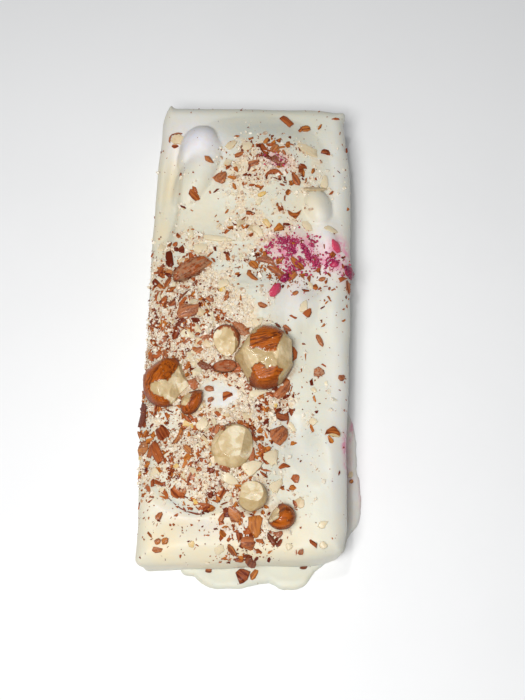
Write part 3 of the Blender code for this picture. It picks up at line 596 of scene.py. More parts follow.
# Pale chips of nut: x, y, length, width, turn, squareness, taper, tone from cream to tan to yellow
PALE_CHIPS = (
    (23.1, -31.4, 1.7, 1.1, 70, 2.2, 0.0, 0.4),
    (-17.3, 43.5, 3.3, 2.5, 8, 2.2, 0.0, 0.55),
    (12.8, 40.5, 5.3, 2.2, -22, 2.8, -0.2, 0.4),
    (-8.4, -6.6, 2.6, 1.4, -35, 2.6, 0.5, 0.75),
    (-13.2, -4.5, 2.5, 1.7, -20, 2.6, 0.2, 0.1),
    (-12.6, -4.1, 1.4, 0.8, 60, 2.2, 0.2, 0.9),
    (-6.9, 18.1, 7.0, 1.3, -7, 2.6, 0.3, 0.1),
    (-10.7, 15.7, 3.2, 2.4, 18, 3.5, 0.1, 0.25),
    (18.1, 21.0, 3.3, 1.5, -21, 2.0, 0.2, 0.3),
    (16.7, 32.9, 3.5, 1.5, 83, 3.0, 0.3, 0.1),
    (14.7, 30.5, 5.5, 1.5, 9, 2.2, 0.4, 0.75),
    (-4.7, 41.2, 2.9, 1.9, 46, 2.4, 0.2, 0.45),
    (-1.0, 40.5, 2.9, 2.2, 46, 2.6, 0.2, 0.3),
    (2.0, 27.0, 1.8, 1.1, 54, 2.5, 0.3, 0.0),
    (-5.5, 7.2, 2.8, 1.9, 20, 3.2, 0.1, 0.3),
    (12.3, 2.7, 3.1, 1.7, 78, 2.4, 0.6, 0.2),
    (13.7, 8.3, 2.1, 0.9, -51, 2.0, 0.1, 0.0),
    (2.2, -1.5, 2.7, 1.9, 31, 2.6, 0.2, 0.1),
    (14.4, -22.9, 1.9, 1.7, 7, 2.0, 0.1, 0.25),
    (11.6, -40.1, 2.3, 2.2, -51, 2.4, 0.2, 0.65),
    (2.0, -33.2, 4.9, 3.0, 29, 2.6, 0.8, 0.2),
    (5.9, -30.6, 3.5, 2.6, 59, 3.6, 0.5, 0.25),
    (-2.6, -36.0, 3.8, 2.2, -28, 1.6, 0.2, 0.2),
    (6.9, -36.6, 3.5, 1.9, 46, 2.6, 0.3, 0.2),
    (-18.3, -34.6, 2.4, 1.9, -25, 2.8, 0.1, 0.25),
    (-16.5, -38.4, 2.1, 1.7, -35, 2.4, 0.1, 0.3),
    (-8.8, -24.4, 2.7, 2.4, 54, 2.6, 0.1, 0.3),
    (2.6, -17.2, 4.4, 1.5, 15, 3.0, 0.3, 0.1),
    (9.9, -23.9, 2.7, 1.1, -51, 2.4, 0.3, 0.15),
    (16.4, -44.4, 2.4, 1.5, 32, 1.6, 0.3, 0.25),
    (9.6, -48.9, 1.5, 1.3, 17, 2.2, 0.2, 0.3),
    (16.5, -48.6, 1.6, 1.5, 30, 2.4, 0.1, 0.35),
    (14.5, -15.9, 1.5, 0.9, -45, 2.4, 0.2, 0.4),
    (-12.5, -51.4, 1.8, 1.3, 7, 2.4, 0.1, 0.3),
    (-4.6, -49.8, 2.3, 1.7, 32, 2.4, 0.1, 0.3),
    (12.8, 21.5, 2.8, 1.9, -44, 2.2, 0.1, 0.3),
    (2.0, 19.9, 3.5, 1.7, -54, 2.4, 0.2, 0.3),
    (-13.2, 20.0, 3.4, 1.1, 89, 2.4, 0.5, 0.25),
    (3.8, 21.8, 2.6, 1.2, -50, 2.2, 0.1, 0.9),
    (2.6, 28.8, 2.2, 1.0, 28, 2.2, 0.3, 0.95),
    (-9.6, -20.9, 1.0, 0.7, -55, 2.2, 0.1, 0.9),
    (-10.2, -48.9, 1.5, 1.3, 45, 2.2, 0.1, 0.9),
    (18.8, -25.6, 2.6, 1.0, -8, 2.2, 0.2, 0.85),
    (-14.7, 12.7, 2.2, 1.5, 30, 2.4, 0.1, 0.6),
)
# Soft lumps of berry: x, y, half length, half width, half height, turn, tone from pink to dark
BERRY_BEADS = (
    (5.9, 5.9, 1.75, 0.95, 1.0, 60, 0.25),
    (7.9, 9.0, 1.1, 0.8, 0.8, 40, 0.9),
    (19.2, 17.0, 1.5, 0.9, 0.45, -66, 0.0),
    (22.2, 11.6, 1.4, 1.2, 1.1, -70, 0.95),
    (18.9, 13.0, 1.0, 0.7, 0.5, 20, 0.45),
)
# A flake from its underside to its top, ring by ring: share of the outline, share of the thickness
FLAKE_PROFILE = ((0.0, -0.5), (0.86, -0.5), (1.0, 0.0), (0.88, 0.45), (0.5, 0.6), (0.0, 0.62))
FLAKE_THICKNESS = (0.35, 0.13)  # that of the narrowest, and more for each millimetre across
CHIP_THICKNESS = (0.45, 0.2)
FLAKE_DUST = (0.0, 0.2, 0.5)  # how thickly meal may lie on a flake
DUSTED_TONE = 0.5
DUST_STRENGTH = 1.3
CHIP_BEDDING = 0.35  # how far a drift of meal lifts a chip
SLOPE_STEP = 0.6  # the coating's slope under a topping is measured so far out
STEEPEST_LIE = 1.2
FAR_AWAY = 99.0

# The light, in metres, and the camera
LAMP_PLACE = Vector((-0.045, -0.115, 0.31))
SPARK_PLACE = Vector((-0.03, 0.03, 0.30))
SPARK_SIZE = 0.016
FLOOR_REACH = 900.0
CAMERA_PLACE = (7.9, -72.4, 223.3)
CAMERA_TARGET = (3.2, -4.9, 8.0)
CAMERA_ROLL = 1.16
CAMERA_LENS = 52.05
SENSOR_WIDTH = 36.0


# ---------------------------------------------------------------- shapes of the bar


def smooth_step(low, high, value):
    """0 up to low and 1 from high on, eased between them."""
    share = np.clip((value - low) / (high - low), 0.0, 1.0)
    return share * share * (3.0 - 2.0 * share)


def turned(x, y, degrees):
    """x and y as seen along axes turned by degrees."""
    c, s = math.cos(math.radians(degrees)), math.sin(math.radians(degrees))
    return x * c + y * s, y * c - x * s


def waves(x, y, z, length, shift=0.0):
    """Smooth random waves of about that length, from -1 to 1, at every point. A shift picks other waves."""
    x, y, z = np.broadcast_arrays(x, y, z)
    spots = np.stack((x.ravel(), y.ravel(), z.ravel()), axis=1) / length + shift
    return np.array([noise.noise(Vector(spot)) for spot in spots.tolist()]).reshape(x.shape)


def drift_share(x, y, drifts):
    """How thickly something lies at each point, from 0 to 1."""
    total = np.zeros_like(x)
    for cx, cy, along, across, turn, share in drifts:
        u, v = turned(x - cx, y - cy, turn)
        total += share * np.exp(-0.5 * ((u / along) ** 2 + (v / across) ** 2))
    return np.clip(total, 0.0, 1.0)


def rim_distance(x, y):
    """How far each point of the top lies inside the rounded outline of the bar."""
    over_x = np.abs(x) - (BAR_WIDTH / 2 - CORNER)
    over_y = np.abs(y - BAR_SHIFT) - (BAR_LENGTH / 2 - CORNER)
    outside = np.hypot(np.maximum(over_x, 0.0), np.maximum(over_y, 0.0))
    return CORNER - outside - np.minimum(np.maximum(over_x, over_y), 0.0)


def mound(x, y, middle_x, middle_y, half_length, half_width, turn, rise, softness):
    """Height of one rounded mound at each point, and 0 outside it."""
    u, v = turned(x - middle_x, y - middle_y, turn)
    inside = 1.0 - (u / half_length) ** 2 - (v / half_width) ** 2
    return rise * np.maximum(inside, 0.0) ** softness


def relief(x, y):
    """Height of the coating's swells and lumps over the plain top of the bar."""
    swell = np.zeros_like(x)
    for cx, cy, half_length, half_width, turn, rise in SWELLS:
        u, v = turned(x - cx, y - cy, turn)
        edge = np.abs(u / half_length) ** SWELL_POWER + np.abs(v / half_width) ** SWELL_POWER
        swell += (rise * np.maximum(1.0 - edge, 0.0) ** SWELL_SOFTNESS) ** SWELL_MELT
    height = swell ** (1 / SWELL_MELT)
    for lump in LUMPS:
        height += mound(x, y, *lump)
    height += sum(mound(x, y, *knob) ** KNOB_MELT for knob in KNOBS) ** (1 / KNOB_MELT)
    height += RIPPLE * waves(x, y, 0.0, RIPPLE_LENGTH)
    return height * smooth_step(0.0, RIM_FADE, rim_distance(x, y))


def top_height(x, y):
    """Height of the coating: the rounded shoulder, and the relief inside it."""
    x, y = np.asarray(x, float), np.asarray(y, float)
    over = np.maximum(SHOULDER - rim_distance(x, y), 0.0)
    shoulder = np.sqrt(np.maximum(SHOULDER**2 - over**2, 0.0))
    return BAR_HEIGHT - SHOULDER + shoulder + relief(x, y)


def beside_nuts(x, y):
    """Distance of each point from the nearest nut piece, in plan. It is negative under one."""
    nearest = np.full(np.shape(x), FAR_AWAY)
    for spec in NUTS.values():
        u, v = turned(x - spec["at"][0], y - spec["at"][1], spec["turn"])
        half_length, half_width = spec["half"][0], spec["half"][1]
        apart = (np.hypot(u / half_length, v / half_width) - 1.0) * math.sqrt(half_length * half_width)
        for (facing_x, facing_y, facing_z), distance, *_ in spec["cuts"]:
            level, whole = math.hypot(facing_x, facing_y), math.hypot(facing_x, facing_y, facing_z)
            if abs(facing_z) < 0.5 * level:
                apart = np.maximum(apart, (facing_x * u + facing_y * v - distance * whole) / level)
        nearest = np.minimum(nearest, apart)
    return nearest


def dressed_height(x, y):
    """The top with the small waves of the coating, the rough crumb bed and a lip round each nut."""
    inside = smooth_step(0.0, RIM_FADE / 2, rim_distance(x, y))
    meal = drift_share(x, y, MEAL_DRIFTS)
    fine = DIMPLE * waves(x, y, 0.0, DIMPLE_LENGTH, 3.0)
    crumbs = np.abs(waves(x, y, 0.0, CRUMB_BED_LENGTH, 9.0))
    crumbs = crumbs + 0.5 * waves(x, y, 0.0, CRUMB_BED_LENGTH / 2.2, 5.0)
    lip = NUT_LIP * np.exp(-((beside_nuts(x, y) / NUT_LIP_WIDTH) ** 2))
    return top_height(x, y) + inside * (fine + CRUMB_BED * meal * crumbs + lip)


def bulged_out(x, y):
    """How far the bulges of the side walls move a point along X."""
    moved = np.zeros(np.shape(x))
    for side, middle, half_length, out in WALL_BULGES:
        share = np.maximum(side * x / BAR_WIDTH * 2, 0.0) ** 4
        moved += side * share * out * np.exp(-(((y - middle) / half_length) ** 2))
    return moved


def ground_height(x, y):
    """Height of the coating under a topping: the bar's top, or the pool beside it."""
    x = x - float(bulged_out(x, y))
    on_bar = rim_distance(x, y - NEAR_SKEW * x) > 0.0
    return float(top_height(x, y)) if on_bar else POOL_HEIGHT


def round_corner(x, y):
    """Points of the square plan moved on to the plan with rounded corners."""
    core_x = np.clip(x, CORNER - BAR_WIDTH / 2, BAR_WIDTH / 2 - CORNER)
    core_y = np.clip(y, CORNER - BAR_LENGTH / 2, BAR_LENGTH / 2 - CORNER)
    dx, dy = x - core_x, y - core_y
    reach = np.maximum(np.hypot(dx, dy), 1e-9)
    stretch = np.where((dx != 0.0) & (dy != 0.0), np.maximum(np.abs(dx), np.abs(dy)) / reach, 1.0)
    return core_x + dx * stretch, core_y + dy * stretch + BAR_SHIFT


def hand_cut(x, y, z):
    """Points of the block as it really is: skewed near end, soft corners, uneven walls."""
    at_wall = 1.0 - smooth_step(0.0, SHOULDER, rim_distance(x, y))
    out_x, out_y = x / BAR_WIDTH * 2, y / BAR_LENGTH * 2
    elsewhere = (x + 7.0 * RIPPLE_LENGTH, y + 3.0 * RIPPLE_LENGTH, z + RIPPLE_LENGTH)
    push = WALL_RIPPLE * waves(*elsewhere, RIPPLE_LENGTH)
    push += WALL_DIMPLE_SHARE * DIMPLE * waves(x, y, z, DIMPLE_LENGTH, 4.0)
    moved_x = x + at_wall * push * out_x
    moved_y = y + at_wall * push * out_y + NEAR_SKEW * x * np.maximum(-out_y, 0.0)
    for corner_x, corner_y, by_x, by_y, reach in SOFT_CORNERS:
        near = np.exp(-((x - corner_x) ** 2 + (y - corner_y) ** 2) / reach**2)
        moved_x += by_x * near
        moved_y += by_y * near
    moved_x += bulged_out(x, y)
    for lip_x, lip_y, out_by_x, out_by_y in CORNER_LIPS:
        near = np.exp(-((x - lip_x) ** 2 + (y - lip_y) ** 2) / CORNER_LIP_REACH**2)
        near = near * smooth_step(*CORNER_LIP_HEIGHTS, z)
        moved_x += out_by_x * near
        moved_y += out_by_y * near
    return np.stack((moved_x, moved_y, z), axis=-1)


def grid_lines(size, pitch):
    """Grid lines over one side of the top: evenly spaced inside, closer round the shoulders."""
    shoulder = [size / 2 - SHOULDER * (1.0 - math.sin(math.radians(a))) for a in range(9, 91, 9)]
    inner = size / 2 - SHOULDER
    middle = np.linspace(-inner, inner, round(2 * inner / pitch) + 1)
    return np.concatenate(([-s for s in reversed(shoulder)], middle, shoulder))


def ring_faces(lower, upper):
    """Faces between two rings of the same number of points."""
    after = np.roll(np.arange(len(lower)), -1)
    return np.stack((lower, lower[after], upper[after], upper), axis=1).tolist()


def coated_block(cell):
    """Points and faces of the bar in its coating: a gridded top, walls in rings and a flat base."""
    xs, ys = grid_lines(BAR_WIDTH, cell), grid_lines(BAR_LENGTH, cell)
    x, y = round_corner(*np.meshgrid(xs, ys, indexing="ij"))
    points = [hand_cut(x, y, dressed_height(x, y)).reshape(-1, 3)]
    number = np.arange(x.size).reshape(x.shape)
    corners = (number[:-1, :-1], number[1:, :-1], number[1:, 1:], number[:-1, 1:])
    faces = np.stack([c.ravel() for c in corners], axis=1).tolist()
    rim = np.concatenate((number[:, 0], number[-1, 1:], number[-2::-1, -1], number[0, -2:0:-1]))
    above, first_free = rim, x.size
    for height in WALL_HEIGHTS:
        below = first_free + np.arange(len(rim))
        points.append(hand_cut(x.ravel()[rim], y.ravel()[rim], np.full(len(rim), height)))
        faces += ring_faces(below, above)
        above, first_free = below, first_free + len(rim)
    faces.append(above[::-1].tolist())
    return np.concatenate(points), faces


def pool_strength(x, y):
    """Above 1 inside the coating that ran out. The pools melt into each other where they meet."""
    total = np.zeros_like(x)
    for cx, cy, half_width, half_length in POOLS:
        edge = np.abs((x - cx) / half_width) ** POOL_POWER + np.abs((y - cy) / half_length) ** POOL_POWER
        total += np.exp(-POOL_FALLOFF * (np.minimum(edge, 50.0) - 1.0))
    return total


def pool_reach(angles):
    """Distance from the pools' middle to their common edge at each angle, found by halving."""
    near, far = np.zeros_like(angles), np.full_like(angles, 60.0)
    for _ in range(30):
        middle = (near + far) / 2
        x = POOL_MIDDLE[0] + middle * np.cos(angles)
        y = POOL_MIDDLE[1] + middle * np.sin(angles)
        wet = pool_strength(x, y) > 1.0
        near, far = np.where(wet, middle, near), np.where(wet, far, middle)
    return near


def run_out_pool():
    """Points and faces of the thin coating that ran out round the near end, as one closed disc."""
    angles = np.linspace(0.0, 2 * math.pi, POOL_STEPS, endpoint=False)
    reach = pool_reach(angles)
    edge_x, edge_y = POOL_MIDDLE[0] + reach * np.cos(angles), POOL_MIDDLE[1] + reach * np.sin(angles)
    reach -= POOL_EDGE_WAVE * (0.5 + waves(edge_x, edge_y, 0.0, POOL_EDGE_WAVE_LENGTH, 2.0))
    reach -= 0.25 * POOL_EDGE_WAVE * (0.5 + waves(edge_x, edge_y, 0.0, POOL_EDGE_WAVE_LENGTH / 4, 6.0))
    points, faces = [], []
    for number, (inset, share) in enumerate(POOL_RINGS):
        x = POOL_MIDDLE[0] + (reach - inset) * np.cos(angles)
        y = POOL_MIDDLE[1] + (reach - inset) * np.sin(angles)
        z = share * POOL_HEIGHT * (1.0 + POOL_RIPPLE * waves(x, y, 0.0, POOL_RIPPLE_LENGTH, 1.0))
        points.append(np.stack((x, y, z), axis=1))
        if number:
            lower = np.arange(POOL_STEPS) + (number - 1) * POOL_STEPS
            faces += ring_faces(lower, lower + POOL_STEPS)
    last = (len(POOL_RINGS) - 1) * POOL_STEPS
    faces += [list(range(last, last + POOL_STEPS)), list(range(POOL_STEPS))[::-1]]
    return np.concatenate(points), faces


# ---------------------------------------------------------------- shapes of the toppings


def unit_sphere(subdivisions):
    """Points and faces of a round ball of radius 1."""
    bm = bmesh.new()
    bmesh.ops.create_icosphere(bm, subdivisions=subdivisions, radius=1.0)
    points = np.array([vert.co for vert in bm.verts])
    faces = [[vert.index for vert in face.verts] for face in bm.faces]
    bm.free()
    return points, faces


def depth_inside(x, y, outline):
    """How far inside a closed outline each point lies. It is negative outside."""
    nearest = np.full(x.shape, FAR_AWAY)
    inside = np.zeros(x.shape, bool)
    corners = np.array(outline)
    for (ax, ay), (bx, by) in zip(corners, np.roll(corners, -1, axis=0)):
        dx, dy = bx - ax, by - ay
        along = np.clip(((x - ax) * dx + (y - ay) * dy) / (dx * dx + dy * dy), 0.0, 1.0)
        nearest = np.minimum(nearest, np.hypot(x - ax - along * dx, y - ay - along * dy))
        rise = dy if abs(dy) > 1e-9 else 1e-9
        inside ^= ((ay > y) != (by > y)) & (x < dx * (y - ay) / rise + ax)
    return np.where(inside, nearest, -nearest)


def nut_frame(spec):
    """Where a nut piece sits: turned and tilted, on the coating under it."""
    x, y = spec["at"]
    return (
        Matrix.Translation((x, y, ground_height(x, y) + spec["lift"]))
        @ Matrix.Rotation(math.radians(spec["turn"]), 4, "Z")
        @ Matrix.Rotation(math.radians(spec["tilt"]), 4, "Y")
    )


def cut_faces(body, spec, draw):
    """Cuts the broken faces into a nut's body. Gives the points and how chalky the face at each is."""
    chalk = np.zeros(len(body))
    for facing, distance, *paleness in spec["cuts"]:
        square_on = np.array(Vector(facing).normalized())
        planes = [(square_on, distance)]
        palest = paleness[0] if paleness else 1.0
        for _ in range(FACETS):
            tilted = square_on + FACET_TILT * np.array([draw.uniform(-1, 1) for _ in range(3)])
            tilted /= np.linalg.norm(tilted)
            through = 0.6 * np.array([draw.uniform(-1, 1) * h for h in spec["half"]])
            through += square_on * (distance - through @ square_on)
            planes.append((tilted, through @ tilted + FACET_SINK * draw.uniform(-0.5, 1.0)))
        for normal, reach in planes:
            over = body @ normal - reach
            body = body - normal * np.maximum(over, 0.0)[:, None]
            face = smooth_step(0.0, 0.06, over)
            chalk = chalk * (1.0 - face) + face * draw.uniform(0.15, 1.0) * palest
    return body, chalk


def chipped(body, draw):
    """Small broken facets all over a nut: how far each stands out, and a chance number for each."""
    seats = np.array([body[draw.randrange(len(body))] for _ in range(CHIP_FACETS)])
    slopes = np.array([[draw.uniform(-1, 1) for _ in range(3)] for _ in range(CHIP_FACETS)]) * CHIP_SLOPE
    rises = np.array([draw.uniform(-CHIP_STEP, CHIP_STEP) for _ in range(CHIP_FACETS)])
    chances = np.array([draw.uniform(0.0, 1.0) for _ in range(CHIP_FACETS)])
    wavy = body + 0.4 * waves(*body.T, 0.9, 3.0)[:, None]
    nearest = ((wavy[:, None, :] - seats[None]) ** 2).sum(axis=2).argmin(axis=1)
    rise = np.einsum("ij,ij->i", body - seats[nearest], slopes[nearest]) + rises[nearest]
    return np.clip(rise, *CHIP_LIMITS), chances[nearest]


def skin_share(place, spec):
    """Where a nut still wears its skin, from 0 to 1, with a ragged edge."""
    seen_x, seen_y = place[:, 0], place[:, 1] + PATCH_SLANT * (place[:, 2] - place[:, 2].max() + 1.0)
    ragged = SKIN_RAGGEDNESS * (waves(*place.T, 1.3, 2.0) + 0.6 * waves(*place.T, 0.5, 8.0))
    patches = spec["bare"] if "bare" in spec else spec["skin"]
    inside = np.zeros(len(place))
    if patches:
        depth = [depth_inside(seen_x, seen_y, outline) for outline in patches]
        inside = smooth_step(-PATCH_EDGE, PATCH_EDGE, np.max(depth, axis=0) + ragged)
    return 1.0 - inside if "bare" in spec else inside


def nut_shape(spec, subdivisions, draw):
    """Points, faces and finish marks of one broken nut piece."""
    unit, faces = unit_sphere(subdivisions)
    x, y = spec["at"]
    lumpy = 1.0 + NUT_LUMPINESS * waves(*(unit * 1.7 + np.array([x, y, 0.0])).T, 1.0)
    body = unit * np.array(spec["half"]) * lumpy[:, None]
    body[:, 1] *= 1.0 - spec["taper"] * unit[:, 0]
    body, chalk = cut_faces(body, spec, draw)
    to_place = np.array(nut_frame(spec))
    place = body @ to_place[:3, :3].T + to_place[:3, 3]
    low = smooth_step(-0.02, -0.22, unit[:, 2] + 0.06 * waves(*place.T, 1.3, 7.0))
    skin = np.maximum(skin_share(place, spec), LOW_SKIN * low)
    crumbled = np.abs(waves(*body.T, FRACTURE_LENGTH, 1.0))
    crumbled = crumbled + 0.5 * waves(*body.T, FRACTURE_LENGTH / 2.5, 4.0)
    furrows = np.abs(waves(body[:, 0] * 0.22, body[:, 1], body[:, 2], FURROW_LENGTH, 6.0))
    chips, chance = chipped(body, draw)
    broken = (1.0 - skin) * (0.25 + 0.75 * np.sqrt(chalk))
    rough = spec.get("rough", 1.0)
    push = rough * broken * (FRACTURE * crumbled + chips)
    push = push + skin * (SKIN_THICKNESS - rough * FURROW * furrows)
    body = body + unit / np.linalg.norm(unit, axis=1)[:, None] * (push - SHRINK)[:, None]
    place = body @ to_place[:3, :3].T + to_place[:3, 3]
    chalk = spec.get("cut_pale", 0.45) * chalk + spec.get("chip_pale", 0.65) * chance + spec.get("pale", 0.0)
    marks = {
        "skin": skin,
        "chalk": np.clip(chalk, -0.3, 1.0),
        # The skin's own tone, made darker low on the sides as painted shade
        "tone": spec["tone"] + LOW_PAINTED_SHADE * smooth_step(0.55, -0.05, unit[:, 2]),
        "dust": np.full(len(place), spec.get("dust", 0.0)),
        "grain": body * spec.get("coarse", 1.0),
    }
    return place, faces, marks


def flake_shape(corners, length, width, thick, power, taper, bend, curl, draw):
    """A thin broken flake about the origin: three rings and a domed middle on each side."""
    angles = np.linspace(0.0, 2 * math.pi, corners, endpoint=False)
    angles += np.array([draw.uniform(-0.9, 0.9) for _ in range(corners)]) * math.pi / corners
    c, s = np.cos(angles), np.sin(angles)
    jag = 1.0 + 0.15 * np.array([draw.uniform(-1.0, 1.0) for _ in range(corners)])
    u = np.sign(c) * np.abs(c) ** (2.0 / power) * jag
    v = np.sign(s) * np.abs(s) ** (2.0 / power) * jag * (1.0 - taper * u)
    rings = []
    for share, height in FLAKE_PROFILE:
        ring_u, ring_v = u * share, v * share
        x = ring_u * length / 2
        y = ring_v * width / 2 + bend * length * (ring_u**2 - 0.35)
        z = thick * height + curl * width * (ring_u**2 * 0.5 - ring_v**2)
        rings.append(np.stack((x, y, z), axis=1)[: 1 if share == 0.0 else corners])
    points = np.concatenate(rings)
    starts = np.cumsum([0] + [len(ring) for ring in rings])
    around = np.arange(corners)
    after = np.roll(around, -1)
    faces = [[0, int(starts[1] + b), int(starts[1] + a)] for a, b in zip(around, after)]
    for level in range(1, 4):
        faces += ring_faces(starts[level] + around, starts[level + 1] + around)
    faces += [[int(starts[5]), int(starts[4] + a), int(starts[4] + b)] for a, b in zip(around, after)]
    return points, faces


def laid_on_top(points, x, y, turn, lift):
    """Points about the origin laid on the coating at x, y, leaning with its slope."""
    along, across = turned(points[:, 0], points[:, 1], -turn)
    ground = ground_height(x, y)
    step = SLOPE_STEP
    slope_x = (ground_height(x + step, y) - ground_height(x - step, y)) / (2 * step)
    slope_y = (ground_height(x, y + step) - ground_height(x, y - step)) / (2 * step)
    slope_x, slope_y = np.clip((slope_x, slope_y), -STEEPEST_LIE, STEEPEST_LIE)
    straight = ground + slope_x * along + slope_y * across
    return np.stack((x + along, y + across, straight + points[:, 2] + lift), axis=1)


class Parts:
    """Gathers many small shapes with their finish marks into one mesh."""

    def __init__(self):
        self.points, self.faces, self.marks, self.count = [], [], {}, 0

    def add(self, points, faces, **marks):
        """Adds one shape, with the same marks all over or with its own at each point."""
        self.points.append(points)
        self.faces += [[corner + self.count for corner in face] for face in faces]
        for key, values in marks.items():
            wide = np.broadcast_to(values, (len(points), 3) if np.ndim(values) == 2 else (len(points),))
            self.marks.setdefault(key, []).append(wide)
        self.count += len(points)

    def made(self, name, finish, sharp_from=None):
        """One object of all the shapes."""
        marks = {key: np.concatenate(values) for key, values in self.marks.items()}
        made = mesh_object(name, np.concatenate(self.points), self.faces, finish, marks)
        smoothed(made.data, sharp_from)
        return made


def smoothed(mesh, sharp_from=None):
    """Shades a mesh smooth, but for edges that turn by more than so many degrees."""
    mesh.shade_smooth()
    if sharp_from:
        mesh.set_sharp_from_angle(angle=math.radians(sharp_from))


def marked_mesh(name, points, faces, marks):
    """A mesh with a number or a vector at each point for every mark."""
    mesh = bpy.data.meshes.new(name)
    mesh.from_pydata(np.asarray(points).tolist(), [], faces)
    for key, values in marks.items():
        wide = np.ndim(values) == 2
        layer = mesh.attributes.new(key, "FLOAT_VECTOR" if wide else "FLOAT", "POINT")
        flat = np.ascontiguousarray(values, np.float32).ravel()
        layer.data.foreach_set("vector" if wide else "value", flat)
    return mesh


def mesh_object(name, points, faces, finish, marks=None):
    """An object from points in millimetres about the bar's middle, with marks for its finish."""
    placed = (np.asarray(points) + np.array((*BAR_CENTRE, 0.0))) * MM
    mesh = marked_mesh(name, placed, faces, marks or {})
    mesh.materials.append(finish)
    made = bpy.data.objects.new(name, mesh)
    bpy.context.scene.collection.objects.link(made)
    return made


# ---------------------------------------------------------------- nodes


# The numbered sockets of two nodes whose sockets share their names
BLEND_SHARE, BLEND_FIRST, BLEND_SECOND, BLENDED_COLOUR = 0, 6, 7, 2
RANDOM_SOCKETS = {"FLOAT": (2, 3, 1), "INT": (4, 5, 2)}  # lowest, highest, what comes out
MILLIMETRES = (1000.0, 1000.0, 1000.0)


def feed(tree, made, sockets):
    """Sets a node's inputs, by name or number, each to a value or to what feeds it."""
    for key, value in sockets.items():
        if isinstance(value, bpy.types.NodeSocket):
            tree.links.new(value, made.inputs[key])
        else:
            made.inputs[key].default_value = value


def node(tree, kind, sockets=None, **settings):
    """A node of that kind with its settings and inputs."""
    made = tree.nodes.new(kind)
    for key, value in settings.items():
        setattr(made, key, value)
    feed(tree, made, sockets or {})
    return made


def maths(tree, operation, *terms, clamp=False):
    """What a Math node makes of two numbers."""
    sockets = dict(enumerate(terms))
    return node(tree, "ShaderNodeMath", sockets, operation=operation, use_clamp=clamp).outputs[0]


def times(tree, first, second, clamp=False):
    """The product of two numbers."""
    return maths(tree, "MULTIPLY", first, second, clamp=clamp)


def plus(tree, first, second, clamp=False):
    """The sum of two numbers."""
    return maths(tree, "ADD", first, second, clamp=clamp)


def between(tree, value, low, high, to_low=0.0, to_high=1.0):
    """value as it runs from low to high, eased at both ends."""
    sockets = {"Value": value, "From Min": low, "From Max": high, "To Min": to_low, "To Max": to_high}
    return node(tree, "ShaderNodeMapRange", sockets, interpolation_type="SMOOTHSTEP").outputs[0]


def colour_blend(tree, share, first, second):
    """The first colour where share is 0 and the second where it is 1."""
    sockets = {BLEND_SHARE: share, BLEND_FIRST: first, BLEND_SECOND: second}
    return node(tree, "ShaderNodeMix", sockets, data_type="RGBA").outputs[BLENDED_COLOUR]


def vector_maths(tree, operation, first, second):
    """What a Vector Math node makes of two vectors."""
    return node(tree, "ShaderNodeVectorMath", {0: first, 1: second}, operation=operation).outputs[0]


def lengthened(tree, vector, amount):
    """A vector with its length multiplied by a number."""
    return node(tree, "ShaderNodeVectorMath", {0: vector, "Scale": amount}, operation="SCALE").outputs[0]


def cloud(tree, vector, scale, detail=2.0, roughness=0.5, distortion=0.0):
    """Soft random noise from 0 to 1, about one lump to each 1 / scale."""
    sockets = {"Vector": vector, "Scale": scale, "Detail": detail, "Roughness": roughness}
    return node(tree, "ShaderNodeTexNoise", {**sockets, "Distortion": distortion}).outputs[0]


def mark(tree, name, kind="Fac"):
    """The number, or else the vector, that the piece carries under that name."""
    return node(tree, "ShaderNodeAttribute", attribute_name=name).outputs[kind]


def group(name, kind, inputs, outputs):
    """An empty node group with named sockets. Gives it, what comes in and what goes out."""
    tree = bpy.data.node_groups.new(name, kind)
    for label, socket, default in inputs:
        made = tree.interface.new_socket(label, in_out="INPUT", socket_type=socket)
        if default is not None:
            made.default_value = default
    for label, socket in outputs:
        tree.interface.new_socket(label, in_out="OUTPUT", socket_type=socket)
    return tree, tree.nodes.new("NodeGroupInput").outputs, tree.nodes.new("NodeGroupOutput").inputs


def placed_group(tree, name, sockets):
    """A shared effect placed in a material with its own values. Gives what comes out."""
    return node(tree, "ShaderNodeGroup", sockets, node_tree=bpy.data.node_groups[name]).outputs


def opaque(colour):
    """A colour as a socket wants it."""
    return (*colour[:3], 1.0)


def finish_with(name, **settings):
    """An empty material and its shader, with the shader's own sockets set."""
    made = bpy.data.materials.new(name)
    made.use_nodes = True
    shader = made.node_tree.nodes["Principled BSDF"]
    for key, value in settings.items():
        shader.inputs[key.replace("_", " ").title().replace("Ior", "IOR")].default_value = value
    return made, made.node_tree, shader


def in_millimetres(tree):
    """The object's own coordinates, in millimetres."""
    spot = node(tree, "ShaderNodeTexCoord").outputs["Object"]
    return vector_maths(tree, "MULTIPLY", spot, MILLIMETRES)


def finished(tree, shader, colour, roughness, height=None, distance=0.0, strength=1.0):
    """Feeds a shader its colour, its roughness and, from a height, its relief."""
    feed(tree, shader, {"Base Color": colour, "Roughness": roughness})
    if height:
        relief_sockets = {"Height": height, "Distance": distance, "Strength": strength}
        feed(tree, shader, {"Normal": node(tree, "ShaderNodeBump", relief_sockets).outputs[0]})


def mottled(tree, spot, colour, other, scale, amount):
    """The shared mottle placed in a material."""
    sockets = {"Vector": spot, "Colour": colour, "Other Colour": other, "Scale": scale, "Amount": amount}
    return placed_group(tree, "Mottle", sockets)


def streaked(tree, orange, red_brown, dark):
    """The shared streaks of almond skin placed in a material, along the piece's own grain."""
    return placed_group(tree, "Skin streaks", {
        "Grain": mark(tree, "grain", "Vector"), "Tone": mark(tree, "tone"),
        "Orange": opaque(orange), "Red Brown": opaque(red_brown), "Dark": opaque(dark)})


